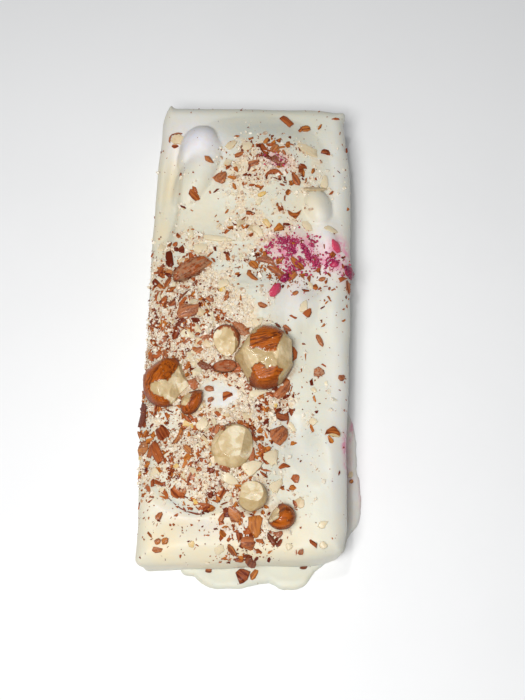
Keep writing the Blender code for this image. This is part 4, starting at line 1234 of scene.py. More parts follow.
def make_mottle():
    """Soft uneven colour and a height to go with it, as in coating, nut flesh and meal."""
    tree, start, end = group(
        "Mottle", "ShaderNodeTree",
        [("Vector", "NodeSocketVector", None), ("Colour", "NodeSocketColor", None),
         ("Other Colour", "NodeSocketColor", None), ("Scale", "NodeSocketFloat", 1.0),
         ("Amount", "NodeSocketFloat", 0.5)],
        [("Colour", "NodeSocketColor"), ("Height", "NodeSocketFloat")],
    )
    soft = cloud(tree, start["Vector"], start["Scale"], 4.0, 0.6)
    share = times(tree, between(tree, soft, 0.38, 0.66), start["Amount"])
    tree.links.new(colour_blend(tree, share, start["Colour"], start["Other Colour"]), end["Colour"])
    tree.links.new(soft, end["Height"])


def make_skin_streaks():
    """Almond skin: long fine streaks along the grain, coloured by tone."""
    tree, start, end = group(
        "Skin streaks", "ShaderNodeTree",
        [("Grain", "NodeSocketVector", None), ("Tone", "NodeSocketFloat", 0.3),
         ("Orange", "NodeSocketColor", None), ("Red Brown", "NodeSocketColor", None),
         ("Dark", "NodeSocketColor", None)],
        [("Colour", "NodeSocketColor"), ("Height", "NodeSocketFloat")],
    )
    shift = times(tree, start["Tone"], 37.0)
    along = vector_maths(tree, "MULTIPLY", start["Grain"], (0.12, 1.0, 1.0))
    placed = vector_maths(tree, "ADD", along, shift)
    broad = cloud(tree, placed, 0.75, 2.0, 0.55, 0.3)
    fine = cloud(tree, placed, 2.2, 3.0, 0.6, 0.3)
    streaks = times(tree, between(tree, fine, 0.42, 0.6), between(tree, broad, 0.3, 0.6, 0.25, 1.0))
    plain = colour_blend(tree, between(tree, start["Tone"], 0.1, 0.62), start["Orange"], start["Red Brown"])
    darkness = between(tree, start["Tone"], 0.6, 1.05)
    deep = plus(tree, times(tree, streaks, 0.85), darkness, clamp=True)
    tree.links.new(colour_blend(tree, deep, plain, start["Dark"]), end["Colour"])
    tree.links.new(maths(tree, "SUBTRACT", 1.0, fine), end["Height"])


def make_crumb_tint():
    """The colour of one crumb, from light to dark by its tint, and stained by the berries near it."""
    tree, start, end = group(
        "Crumb tint", "ShaderNodeTree",
        [("Tint", "NodeSocketFloat", 0.5), ("Stain", "NodeSocketFloat", 0.0),
         ("Light", "NodeSocketColor", None), ("Middle", "NodeSocketColor", None),
         ("Dark", "NodeSocketColor", None), ("Stain Colour", "NodeSocketColor", None)],
        [("Colour", "NodeSocketColor")],
    )
    pale = colour_blend(tree, between(tree, start["Tint"], 0.15, 0.75), start["Light"], start["Middle"])
    whole = colour_blend(tree, between(tree, start["Tint"], 0.8, 0.97), pale, start["Dark"])
    stained = times(tree, start["Stain"], 0.8, clamp=True)
    tree.links.new(colour_blend(tree, stained, whole, start["Stain Colour"]), end["Colour"])


def make_shared_effects():
    """Builds the node groups that several materials use, once."""
    if "Mottle" not in bpy.data.node_groups:
        make_mottle()
        make_skin_streaks()
        make_crumb_tint()


# ---------------------------------------------------------------- finishes


# The scale of a cloud is in lumps to a millimetre. The levels it runs between set how sharp its patches are.
# Depth of each finish's relief in metres, and how strongly it shows
COATING_RELIEF = (0.0002, 0.6)
NUT_RELIEF = (0.00022, 0.6)
FLAKE_RELIEF = (0.0002, 0.8)
CRUMB_RELIEF = (0.0001, 0.6)
SPECK_CELLS = 0.62  # places for a fine speck, to a millimetre of coating
SPECK_RADIUS = 0.085  # as a share of such a place
SPECK_STRENGTH = 0.7


def coating_finish(look, berries):
    """White coating: satin, a little translucent, yellowish in places and stained by the berries, with
    painted light and shade: painted warm and bluish light, greyish painted shade and dark painted shadow
    round the nuts.
    """
    made, tree, shader = finish_with(
        "white_coating", specular_ior_level=0.38, subsurface_weight=0.25,
        subsurface_radius=(1.0, 0.75, 0.5), subsurface_scale=0.0012, ior=1.45,
    )
    spot = in_millimetres(tree)
    # yellowish areas with painted warm light and shade, painted bluish light, and greyish painted shade
    drift = between(tree, cloud(tree, spot, 0.16, 3.0), 0.35, 0.65)
    warm_and_painted_light = times(tree, mark(tree, "warm_and_painted_light"), between(tree, drift, 0.0, 1.0, 0.55, 1.0), clamp=True)
    colour = colour_blend(tree, warm_and_painted_light, opaque(look.colour), opaque(look.warm_colour))
    # Painted cool light: a bluish-white highlight, and a bluish tint in the shade
    colour = colour_blend(tree, mark(tree, "painted_cool_light"), colour, opaque(look.painted_cool_light_colour))
    # Painted shade: the coating made greyish where shade falls, by the mark named thin
    colour = colour_blend(tree, mark(tree, "thin"), colour, opaque(look.painted_shade_colour))
    smooth = mottled(tree, spot, colour, opaque(look.warm_colour), 0.55, 0.22)
    # the bed of sunken meal, and the painted shadow round each nut
    meal = mark(tree, "meal")
    crumbs = cloud(tree, spot, 1.1, 5.0, 0.72)
    bed = mottled(tree, spot, opaque(look.bed_colour), opaque(look.bed_dark_colour), 1.9, 0.8)
    lying = between(tree, plus(tree, crumbs, times(tree, meal, 0.5)), 0.5, 0.72)
    share = times(tree, lying, between(tree, meal, 0.02, 0.42), clamp=True)
    colour = colour_blend(tree, share, smooth["Colour"], bed["Colour"])
    # Painted shadow: dark coating close round each nut, in patches
    painted_nut_shadow = times(tree, mark(tree, "painted_nut_shadow"), between(tree, crumbs, 0.35, 0.6, 0.25, 0.7))
    colour = colour_blend(tree, painted_nut_shadow, colour, opaque(look.painted_nut_shadow_colour))
    # berry stain and fine specks
    patchy = between(tree, cloud(tree, spot, 0.7, 4.0, 0.65), 0.3, 0.62)
    stain = times(tree, mark(tree, "stain"), patchy, clamp=True)
    colour = colour_blend(tree, stain, colour, opaque(berries.stain_colour))
    cells = node(tree, "ShaderNodeTexVoronoi", {"Vector": spot, "Scale": SPECK_CELLS, "Randomness": 1.0})
    dots = maths(tree, "LESS_THAN", cells.outputs["Distance"], SPECK_RADIUS)
    chosen = maths(tree, "GREATER_THAN", cloud(tree, spot, 0.33, 1.0), 0.5)
    specks = times(tree, times(tree, dots, chosen), SPECK_STRENGTH)
    colour = colour_blend(tree, specks, colour, opaque(look.speck_colour))
    # rougher and more uneven where meal lies
    rough = plus(tree, 0.46, times(tree, share, 0.2))
    crumbly = times(tree, crumbs, times(tree, meal, 1.6))
    height = plus(tree, times(tree, smooth["Height"], 0.5), crumbly)
    finished(tree, shader, colour, rough, height, *COATING_RELIEF)
    return made


def nut_finish(look):
    """Almond: waxy flesh with paler broken faces, and streaked glossy skin where it still holds."""
    made, tree, shader = finish_with(
        "almond", subsurface_weight=0.15, subsurface_radius=(1.0, 0.5, 0.2), subsurface_scale=0.001,
        ior=1.42, specular_ior_level=0.25, coat_weight=0.35, coat_roughness=0.08,
    )
    spot = in_millimetres(tree)
    # flesh: waxy, and chalky where it broke
    chalk = mark(tree, "chalk")
    uneven = plus(tree, chalk, between(tree, cloud(tree, spot, 0.45, 2.0, 0.5, 0.4), 0.3, 0.7, -0.25, 0.25))
    paleness = between(tree, uneven, 0.1, 0.8)
    waxy = colour_blend(tree, paleness, opaque(look.flesh_colour), opaque(look.flesh_pale_colour))
    flesh = mottled(tree, spot, waxy, opaque(look.broken_colour), 0.8, 0.16)
    crumbly = between(tree, cloud(tree, spot, 0.5, 3.0, 0.6, 0.6), 0.54, 0.64)
    chalky = times(tree, crumbly, between(tree, uneven, 0.4, 0.9), clamp=True)
    fully = between(tree, uneven, 0.75, 1.1)
    broken = plus(tree, times(tree, chalky, 0.7), fully, clamp=True)
    flesh_colour = colour_blend(tree, broken, flesh["Colour"], opaque(look.broken_colour))
    # skin: streaked, with crumbs and meal on it
    skin = streaked(tree, look.skin_colour, look.skin_red_colour, look.skin_dark_colour)
    share = mark(tree, "skin")
    dust = times(tree, between(tree, cloud(tree, spot, 1.6, 4.0, 0.65), 0.66, 0.72), 0.8)
    skin_colour = colour_blend(tree, dust, skin["Colour"], opaque(look.broken_colour))
    settled = between(tree, cloud(tree, spot, 0.9, 3.0, 0.65), 0.38, 0.6)
    meal = times(tree, settled, mark(tree, "dust"))
    skin_colour = colour_blend(tree, meal, skin_colour, opaque(look.skin_dusty_colour))
    colour = colour_blend(tree, share, flesh_colour, skin_colour)
    # the dark torn edge between them
    edge = times(tree, share, maths(tree, "SUBTRACT", 1.0, share))
    ragged = between(tree, cloud(tree, spot, 0.6, 2.0), 0.4, 0.6, 0.0, 2.6)
    torn = times(tree, edge, ragged, clamp=True)
    colour = colour_blend(tree, torn, colour, opaque(look.skin_dark_colour))
    # glossy and dull patches, and the relief of each
    rough = between(tree, cloud(tree, spot, 0.9, 3.0), 0.35, 0.65, 0.2, 0.5)
    skin_rise = times(tree, skin["Height"], times(tree, share, 1.4))
    flesh_rise = times(tree, flesh["Height"], maths(tree, "SUBTRACT", 1.6, share))
    finished(tree, shader, colour, rough, plus(tree, skin_rise, flesh_rise), *NUT_RELIEF)
    return made


def flake_finish(look):
    """Dry flakes of almond skin, streaked, each of its own tone, the larger ones dusted with meal."""
    made, tree, shader = finish_with(
        "flakes_of_skin", ior=1.42, specular_ior_level=0.2, coat_weight=0.12, coat_roughness=0.12,
    )
    skin = streaked(tree, look.flake_orange_colour, look.flake_colour, look.flake_dark_colour)
    spot = in_millimetres(tree)
    settled = between(tree, cloud(tree, spot, 3.0, 4.0, 0.75), 0.36, 0.64)
    dust = times(tree, settled, mark(tree, "dust"), clamp=True)
    colour = colour_blend(tree, dust, skin["Colour"], opaque(look.flake_dusty_colour))
    rough = between(tree, cloud(tree, spot, 1.0, 2.0), 0.3, 0.7, 0.34, 0.62)
    finished(tree, shader, colour, rough, skin["Height"], *FLAKE_RELIEF)
    return made


def crumb_finish(name, light, middle, dark, stain, roughness, translucence):
    """Crumbs and chips of one kind, each with its own tint."""
    made, tree, shader = finish_with(
        name, subsurface_weight=translucence, subsurface_radius=(1.0, 0.7, 0.45), subsurface_scale=0.0008,
        ior=1.45,
    )
    spot = in_millimetres(tree)
    tint = placed_group(tree, "Crumb tint", {
        "Tint": mark(tree, "tint"), "Stain": mark(tree, "stain"), "Light": opaque(light),
        "Middle": opaque(middle), "Dark": opaque(dark), "Stain Colour": opaque(stain)})
    crumb = mottled(tree, spot, tint["Colour"], opaque(light), 1.6, 0.45)
    wet = between(tree, crumb["Height"], 0.3, 0.7, roughness - 0.12, roughness + 0.14)
    finished(tree, shader, crumb["Colour"], wet, crumb["Height"], *CRUMB_RELIEF)
    return made


def floor_finish(look):
    """The plain pale floor, hardly mottled."""
    made, tree, shader = finish_with("pale_floor")
    darker = opaque([part * 0.985 for part in look.floor_colour])
    floor = mottled(tree, in_millimetres(tree), opaque(look.floor_colour), darker, 0.02, 1.0)
    finished(tree, shader, floor["Colour"], 0.6)
    return made


# ---------------------------------------------------------------- strewing


CRUMB_THICKNESS = (0.7, 1.2)  # least and most of a strewn shape's own thickness
WEAR_SCALE = 1100.0  # scale of the noise that makes each strewn shape uneven
FLAKE_SHAPES = 16
CRUMB_SHAPES = 10
BEAD_SHAPES = 5
KEPT_MARKS = (
    "tint", "tone", "stain", "grain", "dust", "position", "sharp_face", "sharp_edge", "material_index",
)
PER_SQUARE_CM = 1e4  # square centimetres in a square metre


def make_strewing():
    """Strews small shapes over a surface: thickest where its mark is 1, each with its own tint."""
    tree, start, end = group(
        "Strewing", "GeometryNodeTree",
        [("Surface", "NodeSocketGeometry", None), ("Shapes", "NodeSocketCollection", None),
         ("Mark", "NodeSocketString", ""), ("Most per Square Metre", "NodeSocketFloat", 1e5),
         ("Smallest", "NodeSocketFloat", 0.0004), ("Largest", "NodeSocketFloat", 0.001),
         ("Rarity of Large Ones", "NodeSocketFloat", 2.0), ("Tilt", "NodeSocketFloat", 0.4),
         ("Narrowest", "NodeSocketFloat", 0.5), ("Sink", "NodeSocketFloat", 0.0),
         ("Heap", "NodeSocketFloat", 0.0), ("Unevenness", "NodeSocketFloat", 0.3),
         ("Lowest Tone", "NodeSocketFloat", 0.0), ("Highest Tone", "NodeSocketFloat", 1.0),
         ("Seed", "NodeSocketInt", 1), ("Finish", "NodeSocketMaterial", None)],
        [("Toppings", "NodeSocketGeometry")],
    )

    def drawn(low, high, step, kind="FLOAT"):
        """A random number for each point, from its own seed."""
        lowest, highest, result = RANDOM_SOCKETS[kind]
        sockets = {lowest: low, highest: high, "Seed": plus(tree, start["Seed"], float(step))}
        return node(tree, "FunctionNodeRandomValue", sockets, data_type=kind).outputs[result]

    def noted(geometry, name, value):
        """The points with a number stored on each under that name."""
        sockets = {"Geometry": geometry, "Name": name, "Value": value}
        return node(tree, "GeometryNodeStoreNamedAttribute", sockets, data_type="FLOAT").outputs[0]

    def noted_before(name):
        """The number that each point carries under that name."""
        return node(tree, "GeometryNodeInputNamedAttribute", {"Name": name}, data_type="FLOAT").outputs[0]

    def moved(geometry, offset):
        """The geometry with each of its points moved."""
        sockets = {"Geometry": geometry, "Offset": offset}
        return node(tree, "GeometryNodeSetPosition", sockets).outputs[0]

    density = times(tree, noted_before(start["Mark"]), start["Most per Square Metre"])
    sockets = {"Mesh": start["Surface"], "Density": density, "Seed": start["Seed"]}
    spread = node(tree, "GeometryNodeDistributePointsOnFaces", sockets, distribute_method="RANDOM").outputs
    rarity = maths(tree, "POWER", drawn(0.0, 1.0, 1), start["Rarity of Large Ones"])
    span = maths(tree, "SUBTRACT", start["Largest"], start["Smallest"])
    points = noted(spread["Points"], "size", plus(tree, start["Smallest"], times(tree, rarity, span)))
    points = noted(points, "tint", drawn(0.0, 1.0, 2))
    points = noted(points, "tone", drawn(start["Lowest Tone"], start["Highest Tone"], 3))
    size = noted_before("size")
    heap = times(tree, start["Heap"], maths(tree, "POWER", drawn(0.0, 1.0, 4), 2.0))
    up = maths(tree, "SUBTRACT", heap, times(tree, start["Sink"], size))
    points = moved(points, lengthened(tree, spread["Normal"], up))
    tilt_x = times(tree, start["Tilt"], drawn(-1.0, 1.0, 5))
    tilt_y = times(tree, start["Tilt"], drawn(-1.0, 1.0, 6))
    spin = node(tree, "ShaderNodeCombineXYZ", {0: tilt_x, 1: tilt_y, 2: drawn(0.0, 2 * math.pi, 7)})
    turn = node(tree, "FunctionNodeEulerToRotation", {0: spin.outputs[0]})
    lie = node(tree, "FunctionNodeRotateRotation", {
        "Rotation": spread["Rotation"], "Rotate By": turn.outputs[0]}, rotation_space="LOCAL")
    narrow = times(tree, size, drawn(start["Narrowest"], 1.0, 8))
    thin = times(tree, size, drawn(*CRUMB_THICKNESS, 9))
    scale = node(tree, "ShaderNodeCombineXYZ", {0: size, 1: narrow, 2: thin})
    shapes = node(tree, "GeometryNodeCollectionInfo", {
        "Collection": start["Shapes"], "Separate Children": True, "Reset Children": True})
    placed = node(tree, "GeometryNodeInstanceOnPoints", {
        "Points": points, "Instance": shapes.outputs[0], "Pick Instance": True,
        "Instance Index": drawn(0, 60, 10, "INT"), "Rotation": lie.outputs[0], "Scale": scale.outputs[0]})
    real = node(tree, "GeometryNodeRealizeInstances", {"Geometry": placed.outputs[0]})
    here = node(tree, "GeometryNodeInputPosition").outputs[0]
    uneven = node(tree, "ShaderNodeTexNoise", {"Vector": here, "Scale": WEAR_SCALE, "Detail": 1.0}).outputs[1]
    centred = vector_maths(tree, "SUBTRACT", uneven, (0.5, 0.5, 0.5))
    worn = moved(real.outputs[0], lengthened(tree, centred, times(tree, start["Unevenness"], size)))
    coated = node(tree, "GeometryNodeSetMaterial", {"Geometry": worn, "Material": start["Finish"]})
    tree.links.new(coated.outputs[0], end["Toppings"])
    return tree


def shape_family(name, shapes):
    """A hidden collection of the shapes that a strewing picks from."""
    family = bpy.data.collections.new(name)
    for number, (points, faces, smooth) in enumerate(shapes):
        label = f"{name}_{number:02d}"
        mesh = marked_mesh(label, points, faces, {"grain": np.asarray(points) * 2.0})
        if smooth:
            smoothed(mesh, sharp_from=48)
        family.objects.link(bpy.data.objects.new(label, mesh))
    return family


def flake_family(draw):
    """Broken flakes of many outlines, each one unit long."""
    shapes = []
    for _ in range(FLAKE_SHAPES):
        width = draw.uniform(0.25, 0.95)
        corners = draw.choice((4, 5, 5, 6, 7))
        thick, power = draw.uniform(0.16, 0.28), draw.uniform(2.0, 3.6)
        taper, bend, curl = draw.uniform(-0.1, 0.6), draw.uniform(-0.16, 0.16), draw.uniform(-0.12, 0.16)
        shapes.append((*flake_shape(corners, 1.0, width, thick, power, taper, bend, curl, draw), False))
    return shape_family("flake_shapes", shapes)


def crumb_family(name, flatness, draw):
    """Angular crumbs of eight corners, each about one unit across."""
    corners = np.array([(x, y, z) for x in (-1, 1) for y in (-1, 1) for z in (-1, 1)], float) * 0.36
    faces = [[0, 1, 3, 2], [4, 6, 7, 5], [0, 4, 5, 1], [2, 3, 7, 6], [0, 2, 6, 4], [1, 5, 7, 3]]
    shapes = []
    for _ in range(CRUMB_SHAPES):
        jitter = np.array([[draw.uniform(-0.2, 0.2) for _ in range(3)] for _ in range(8)])
        points = (corners + jitter) * np.array([1.15, 1.0, flatness])
        shapes.append((points, faces, False))
    return shape_family(name, shapes)


def bead_family():
    """Small round beads of berry flesh, each one unit across."""
    unit, faces = unit_sphere(2)
    shapes = []
    for number in range(BEAD_SHAPES):
        swell = 1.0 + 0.18 * waves(*(unit + number * 3.0).T, 0.9)
        shapes.append((unit * 0.5 * swell[:, None], faces, True))
    return shape_family("bead_shapes", shapes)


def rides(piece, slot, *nodes):
    """The piece moves with the bar and stands for the nodes named, which are hidden. The slot is not used."""
    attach(piece, "root")
    if nodes:
        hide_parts(*nodes)


def strew(name, slot, family, finish, most, **inputs):
    """Strews a family of shapes over the white coating, as one plain mesh, and puts the family away."""
    tree = bpy.data.node_groups.get("Strewing") or make_strewing()
    carrier = bpy.data.objects.new(name, bpy.data.objects["white_coating"].data.copy())
    bpy.context.scene.collection.objects.link(carrier)
    step = carrier.modifiers.new("Strewing", "NODES")
    step.node_group = tree
    sockets = {item.name: item.identifier for item in tree.interface.items_tree if item.in_out == "INPUT"}
    inputs.update(Shapes=family, Finish=finish, Most_per_Square_Metre=most * PER_SQUARE_CM)
    for label, value in inputs.items():
        step[sockets[label.replace("_", " ")]] = value
    graph = bpy.context.evaluated_depsgraph_get()
    made = bpy.data.meshes.new_from_object(carrier.evaluated_get(graph))
    carrier.modifiers.clear()
    carrier.data = made
    made.name = name
    for spare in [layer.name for layer in made.attributes if not layer.is_internal and not layer.is_required]:
        if spare not in KEPT_MARKS:
            made.attributes.remove(made.attributes[spare])
    made.materials.clear()
    made.materials.append(finish)
    if not made.polygons:
        raise RuntimeError(f"nothing was strewn for {name}")
    rides(carrier, slot)
    for shape in list(family.objects):
        bpy.data.meshes.remove(shape.data)
    bpy.data.collections.remove(family)


# ---------------------------------------------------------------- settings


def colour_setting(name, description, default):
    """A colour that a user can change."""
    return FloatVectorProperty(
        name=name, description=description, subtype="COLOR", size=3, default=default, min=0.0, max=1.0)


def length_setting(name, description, default):
    """A length that a user can change, in metres."""
    return FloatProperty(
        name=name, description=description, subtype="DISTANCE", unit="LENGTH", default=default, min=0.0)


def amount_setting(name, description, default, unit="NONE"):
    """A strength, or a number of toppings to a square centimetre, that a user can change."""
    return FloatProperty(name=name, description=description, unit=unit, default=default, min=0.0)


class BarCoatingLook(bpy.types.PropertyGroup):
    """Sizes and colours of the white coating."""

    cell: length_setting("Cell", "Spacing of the grid that the coating's top is made on", 0.00034)
    colour: colour_setting("Coating", "The coating itself", (0.73, 0.725, 0.615))
    # Also the colour of the painted warm light and warm shade
    warm_colour: colour_setting("Warm coating", "Coating that is thin and yellowish", (0.83, 0.72, 0.50))
    # Painted cool light: the bluish white of the painted highlight and of shaded slopes
    painted_cool_light_colour: colour_setting("Cool coating", "Coating that is thick and bluish", (0.88, 0.86, 0.92))
    # Painted shade: the greyish colour given to shaded valleys, ledges and sides
    painted_shade_colour: colour_setting("Thin coating", "Coating that is thin and greyish", (0.55, 0.58, 0.53))
    bed_colour: colour_setting("Crumb bed", "Meal that sank into the coating", (0.84, 0.73, 0.54))
    bed_dark_colour: colour_setting("Dark crumb bed", "Darker meal in the coating", (0.71, 0.55, 0.375))
    # Painted shadow: the dark colour painted round each nut
    painted_nut_shadow_colour: colour_setting("Seat", "The coating close beside a nut piece", (0.42, 0.27, 0.15))
    speck_colour: colour_setting("Specks", "The finest specks of skin in the coating", (0.33, 0.13, 0.05))


class BarNutLook(bpy.types.PropertyGroup):
    """Detail and colours of the nut pieces."""

    subdivisions: IntProperty(
        name="Detail", description="How often each nut's ball is divided", default=6, min=3, max=7)
    flesh_colour: colour_setting("Flesh", "Waxy flesh of the nut", (0.53, 0.375, 0.175))
    flesh_pale_colour: colour_setting("Pale flesh", "Paler flesh", (0.73, 0.56, 0.32))
    broken_colour: colour_setting("Broken flesh", "Freshly broken, chalky flesh", (0.88, 0.77, 0.55))
    skin_colour: colour_setting("Skin", "Orange brown skin", (0.50, 0.115, 0.004))
    skin_red_colour: colour_setting("Red skin", "Reddish brown skin", (0.40, 0.085, 0.02))
    skin_dusty_colour: colour_setting("Dusty skin", "Meal lying on the skin", (0.50, 0.30, 0.17))
    skin_dark_colour: colour_setting("Dark skin", "The dark streaks of the skin", (0.11, 0.015, 0.001))


class BarToppingLook(bpy.types.PropertyGroup):
    """Sizes, amounts and colours of what is strewn on the bar."""

    flakes: amount_setting("Flakes", "Flakes per square centimetre where they lie thickest", 310.0)
    specks: amount_setting("Specks", "Specks of skin per square centimetre where they lie thickest", 190.0)
    flake_smallest: length_setting("Smallest flake", "Length of the smallest flakes", 0.0004)
    flake_largest: length_setting("Largest flake", "Length of the largest strewn flakes", 0.0025)
    flake_orange_colour: colour_setting("Orange flake", "The most orange flakes", (0.58, 0.19, 0.03))
    flake_colour: colour_setting("Flake", "Reddish brown flakes", (0.45, 0.113, 0.028))
    flake_dark_colour: colour_setting("Dark flake", "The darkest flakes", (0.14, 0.016, 0.003))
    flake_dusty_colour: colour_setting("Dusty flake", "Flakes dusted with meal", (0.52, 0.28, 0.165))
    meal: amount_setting("Meal", "Grains of meal per square centimetre where it is thickest", 800.0)
    meal_smallest: length_setting("Finest meal", "Size of the finest grains", 0.0002)
    meal_largest: length_setting("Coarsest meal", "Size of the coarsest grains", 0.001)
    meal_light_colour: colour_setting("Light meal", "The palest grains", (0.90, 0.815, 0.67))
    meal_colour: colour_setting("Meal", "Most of the grains", (0.84, 0.72, 0.555))
    meal_dark_colour: colour_setting("Dark meal", "The darkest grains", (0.52, 0.28, 0.15))
    chips: amount_setting("Small chips", "Small pale chips per square centimetre of thick meal", 14.0)
    chip_light_colour: colour_setting("Pale chip", "Creamy chips of nut", (0.79, 0.67, 0.46))
    chip_colour: colour_setting("Tan chip", "Tan chips of nut", (0.68, 0.51, 0.30))
    chip_yellow_colour: colour_setting("Yellow chip", "The few yellow chips", (0.78, 0.48, 0.10))


class BarBerryLook(bpy.types.PropertyGroup):
    """Amounts and colours of the berry crumbs."""

    crumbs: amount_setting("Berry crumbs", "Crumbs per square centimetre where they are thickest", 1500.0)
    pink_colour: colour_setting("Pink berry", "The lightest berry flesh", (0.66, 0.07, 0.14))
    berry_colour: colour_setting("Berry", "Most of the berry flesh", (0.37, 0.014, 0.10))
    dark_colour: colour_setting("Dark berry", "The darkest berry flesh", (0.16, 0.004, 0.04))
    stain_colour: colour_setting("Stain", "Coating stained by the berries", (0.78, 0.30, 0.42))


class BarStageLook(bpy.types.PropertyGroup):
    """The light and the floor."""

    lamp_power: amount_setting("Lamp", "Power of the soft lamp", 0.85, "POWER")
    spark_power: amount_setting("Spark lamp", "Power of the small lamp that makes the glints", 0.1, "POWER")
    lamp_size: length_setting("Lamp size", "Side of the square lamp", 0.11)
    sky: amount_setting("Sky", "Strength of the light from all round", 0.17)
    sky_colour: colour_setting("Sky colour", "Colour of the light from all round", (0.93, 0.96, 1.0))
    floor_colour: colour_setting("Floor", "The pale floor", (0.95, 0.95, 0.95))


# ---------------------------------------------------------------- operators


def coating_marks(x, y, z, on_bar):
    """What lies at each point of the coating and how it is coloured, from 0 to 1."""
    bare = drift_share(x, y, BARE_DRIFTS)
    clear = smooth_step(-0.7, -0.1, beside_nuts(x, y)) * (1.0 - bare)
    on_top = smooth_step(*TOP_BEGINS, z) if on_bar else np.zeros(len(z))
    clumps = waves(x, y, 0.0, CLUMP_LENGTH, 12.0) + 0.5 * waves(x, y, 0.0, CLUMP_LENGTH / 3, 15.0)
    meal = drift_share(x, y, MEAL_DRIFTS)
    thick_meal = np.maximum(meal * smooth_step(-0.22, 0.3, clumps), smooth_step(0.45, 1.0, meal))
    flakes = drift_share(x, y, FLAKE_DRIFTS) + SPECK_FLOOR * smooth_step(*STRAYS_BEGIN, z)
    berry_clumps = smooth_step(-0.3, 0.1, waves(x, y, 0.0, BERRY_CLUMP_LENGTH, 6.0))
    return {
        "meal": thick_meal * on_top * (1.0 - 0.9 * bare),
        "meal_lies": thick_meal**1.3 * on_top * clear,
        "flakes_lie": np.clip(flakes, 0.0, 1.0) * on_top * clear,
        "berry_lies": drift_share(x, y, BERRY_DRIFTS) * berry_clumps * on_top * clear,
        "stain": drift_share(x, y, STAIN_DRIFTS),
        # Painted shadow: how strongly the coating is darkened close beside a nut
        "painted_nut_shadow": np.exp(-((beside_nuts(x, y) / NUT_SHADOW_WIDTH) ** 2)) * on_top,
        # Yellowish coating: partly its own tint, partly painted warm light and shade
        "warm_and_painted_light": drift_share(x, y, WARM_AND_PAINTED_LIGHT_DRIFTS) * smooth_step(*WARM_BEGINS, z),
        # Painted cool light: bluish-white highlight and bluish tint of shaded places
        "painted_cool_light": drift_share(x, y, PAINTED_COOL_LIGHT_DRIFTS),
        # thin here is painted shade: where the coating is made greyish as if in shade
        "thin": drift_share(x, y, PAINTED_SHADE_DRIFTS if on_bar else PAINTED_SHADE_FOOT),
    }


class BAR_OT_coating(bpy.types.Operator):
    """Make the coating of the bar and the coating that ran out round its near end."""

    bl_idname = "bar.coating"
    bl_label = "Coating"

    def execute(self, context):
        look = context.scene.bar_coating
        finish = coating_finish(look, context.scene.bar_berries)
        pieces = {"white_coating": coated_block(look.cell / MM), "run_out_coating": run_out_pool()}
        for name, (points, faces) in pieces.items():
            marks = coating_marks(*points.T, name == "white_coating")
            made = mesh_object(name, points, faces, finish, marks)
            smoothed(made.data)
            rides(made, "white_coating", "coated_bar")
        return {"FINISHED"}


class BAR_OT_nuts(bpy.types.Operator):
    """Make the large broken nut pieces."""

    bl_idname = "bar.nuts"
    bl_label = "Nut pieces"

    def execute(self, context):
        look = context.scene.bar_nuts
        finish = nut_finish(look)
        draw = random.Random(SEED)
        for name, spec in NUTS.items():
            points, faces, marks = nut_shape(spec, look.subdivisions, draw)
            made = mesh_object("nut_" + name, points, faces, finish, marks)
            smoothed(made.data)
            rides(made, "almond_flesh" if name in BLANCHED else "almond_skin", name)
        return {"FINISHED"}


class BAR_OT_flakes(bpy.types.Operator):
    """Lay the flakes of almond skin: the ones that show, and the strewn ones."""

    bl_idname = "bar.flakes"
    bl_label = "Flakes of skin"

    def execute(self, context):
        look = context.scene.bar_toppings
        finish = flake_finish(look)
        draw = random.Random(SEED + 1)
        parts = Parts()
        for x, y, length, width, turn, power, taper, bend, tone in FLAKES:
            thick = FLAKE_THICKNESS[0] + FLAKE_THICKNESS[1] * min(length, width)
            corners, curl = draw.choice((8, 10, 13)), draw.uniform(-0.05, 0.12)
            points, faces = flake_shape(corners, length, width, thick, power, taper, bend, curl, draw)
            laid = laid_on_top(points, x, y, turn, 0.25 * thick + 0.12)
            dust = draw.choice(FLAKE_DUST) if tone > 0.0 else -DUST_STRENGTH * tone
            parts.add(laid, faces, grain=points, tone=tone if tone > 0.0 else DUSTED_TONE, dust=dust)
        rides(parts.made("large_flakes", finish, sharp_from=50), "almond_skin")
        strew(
            "strewn_flakes", "almond_skin", flake_family(draw), finish, look.flakes, Mark="flakes_lie",
            Smallest=look.flake_smallest, Largest=look.flake_largest, Rarity_of_Large_Ones=3.3, Tilt=0.35,
            Narrowest=0.4, Sink=0.04, Heap=0.0003, Unevenness=0.35, Lowest_Tone=0.0, Highest_Tone=1.05,
            Seed=SEED)
        strew(
            "specks_of_skin", "almond_skin", crumb_family("speck_shapes", 0.45, draw), finish, look.specks,
            Mark="flakes_lie", Smallest=0.00018, Largest=0.0006, Rarity_of_Large_Ones=1.8, Tilt=0.5,
            Narrowest=0.35, Sink=0.0, Heap=0.0002, Unevenness=0.4, Lowest_Tone=0.1, Highest_Tone=0.9,
            Seed=SEED + 10)
        return {"FINISHED"}


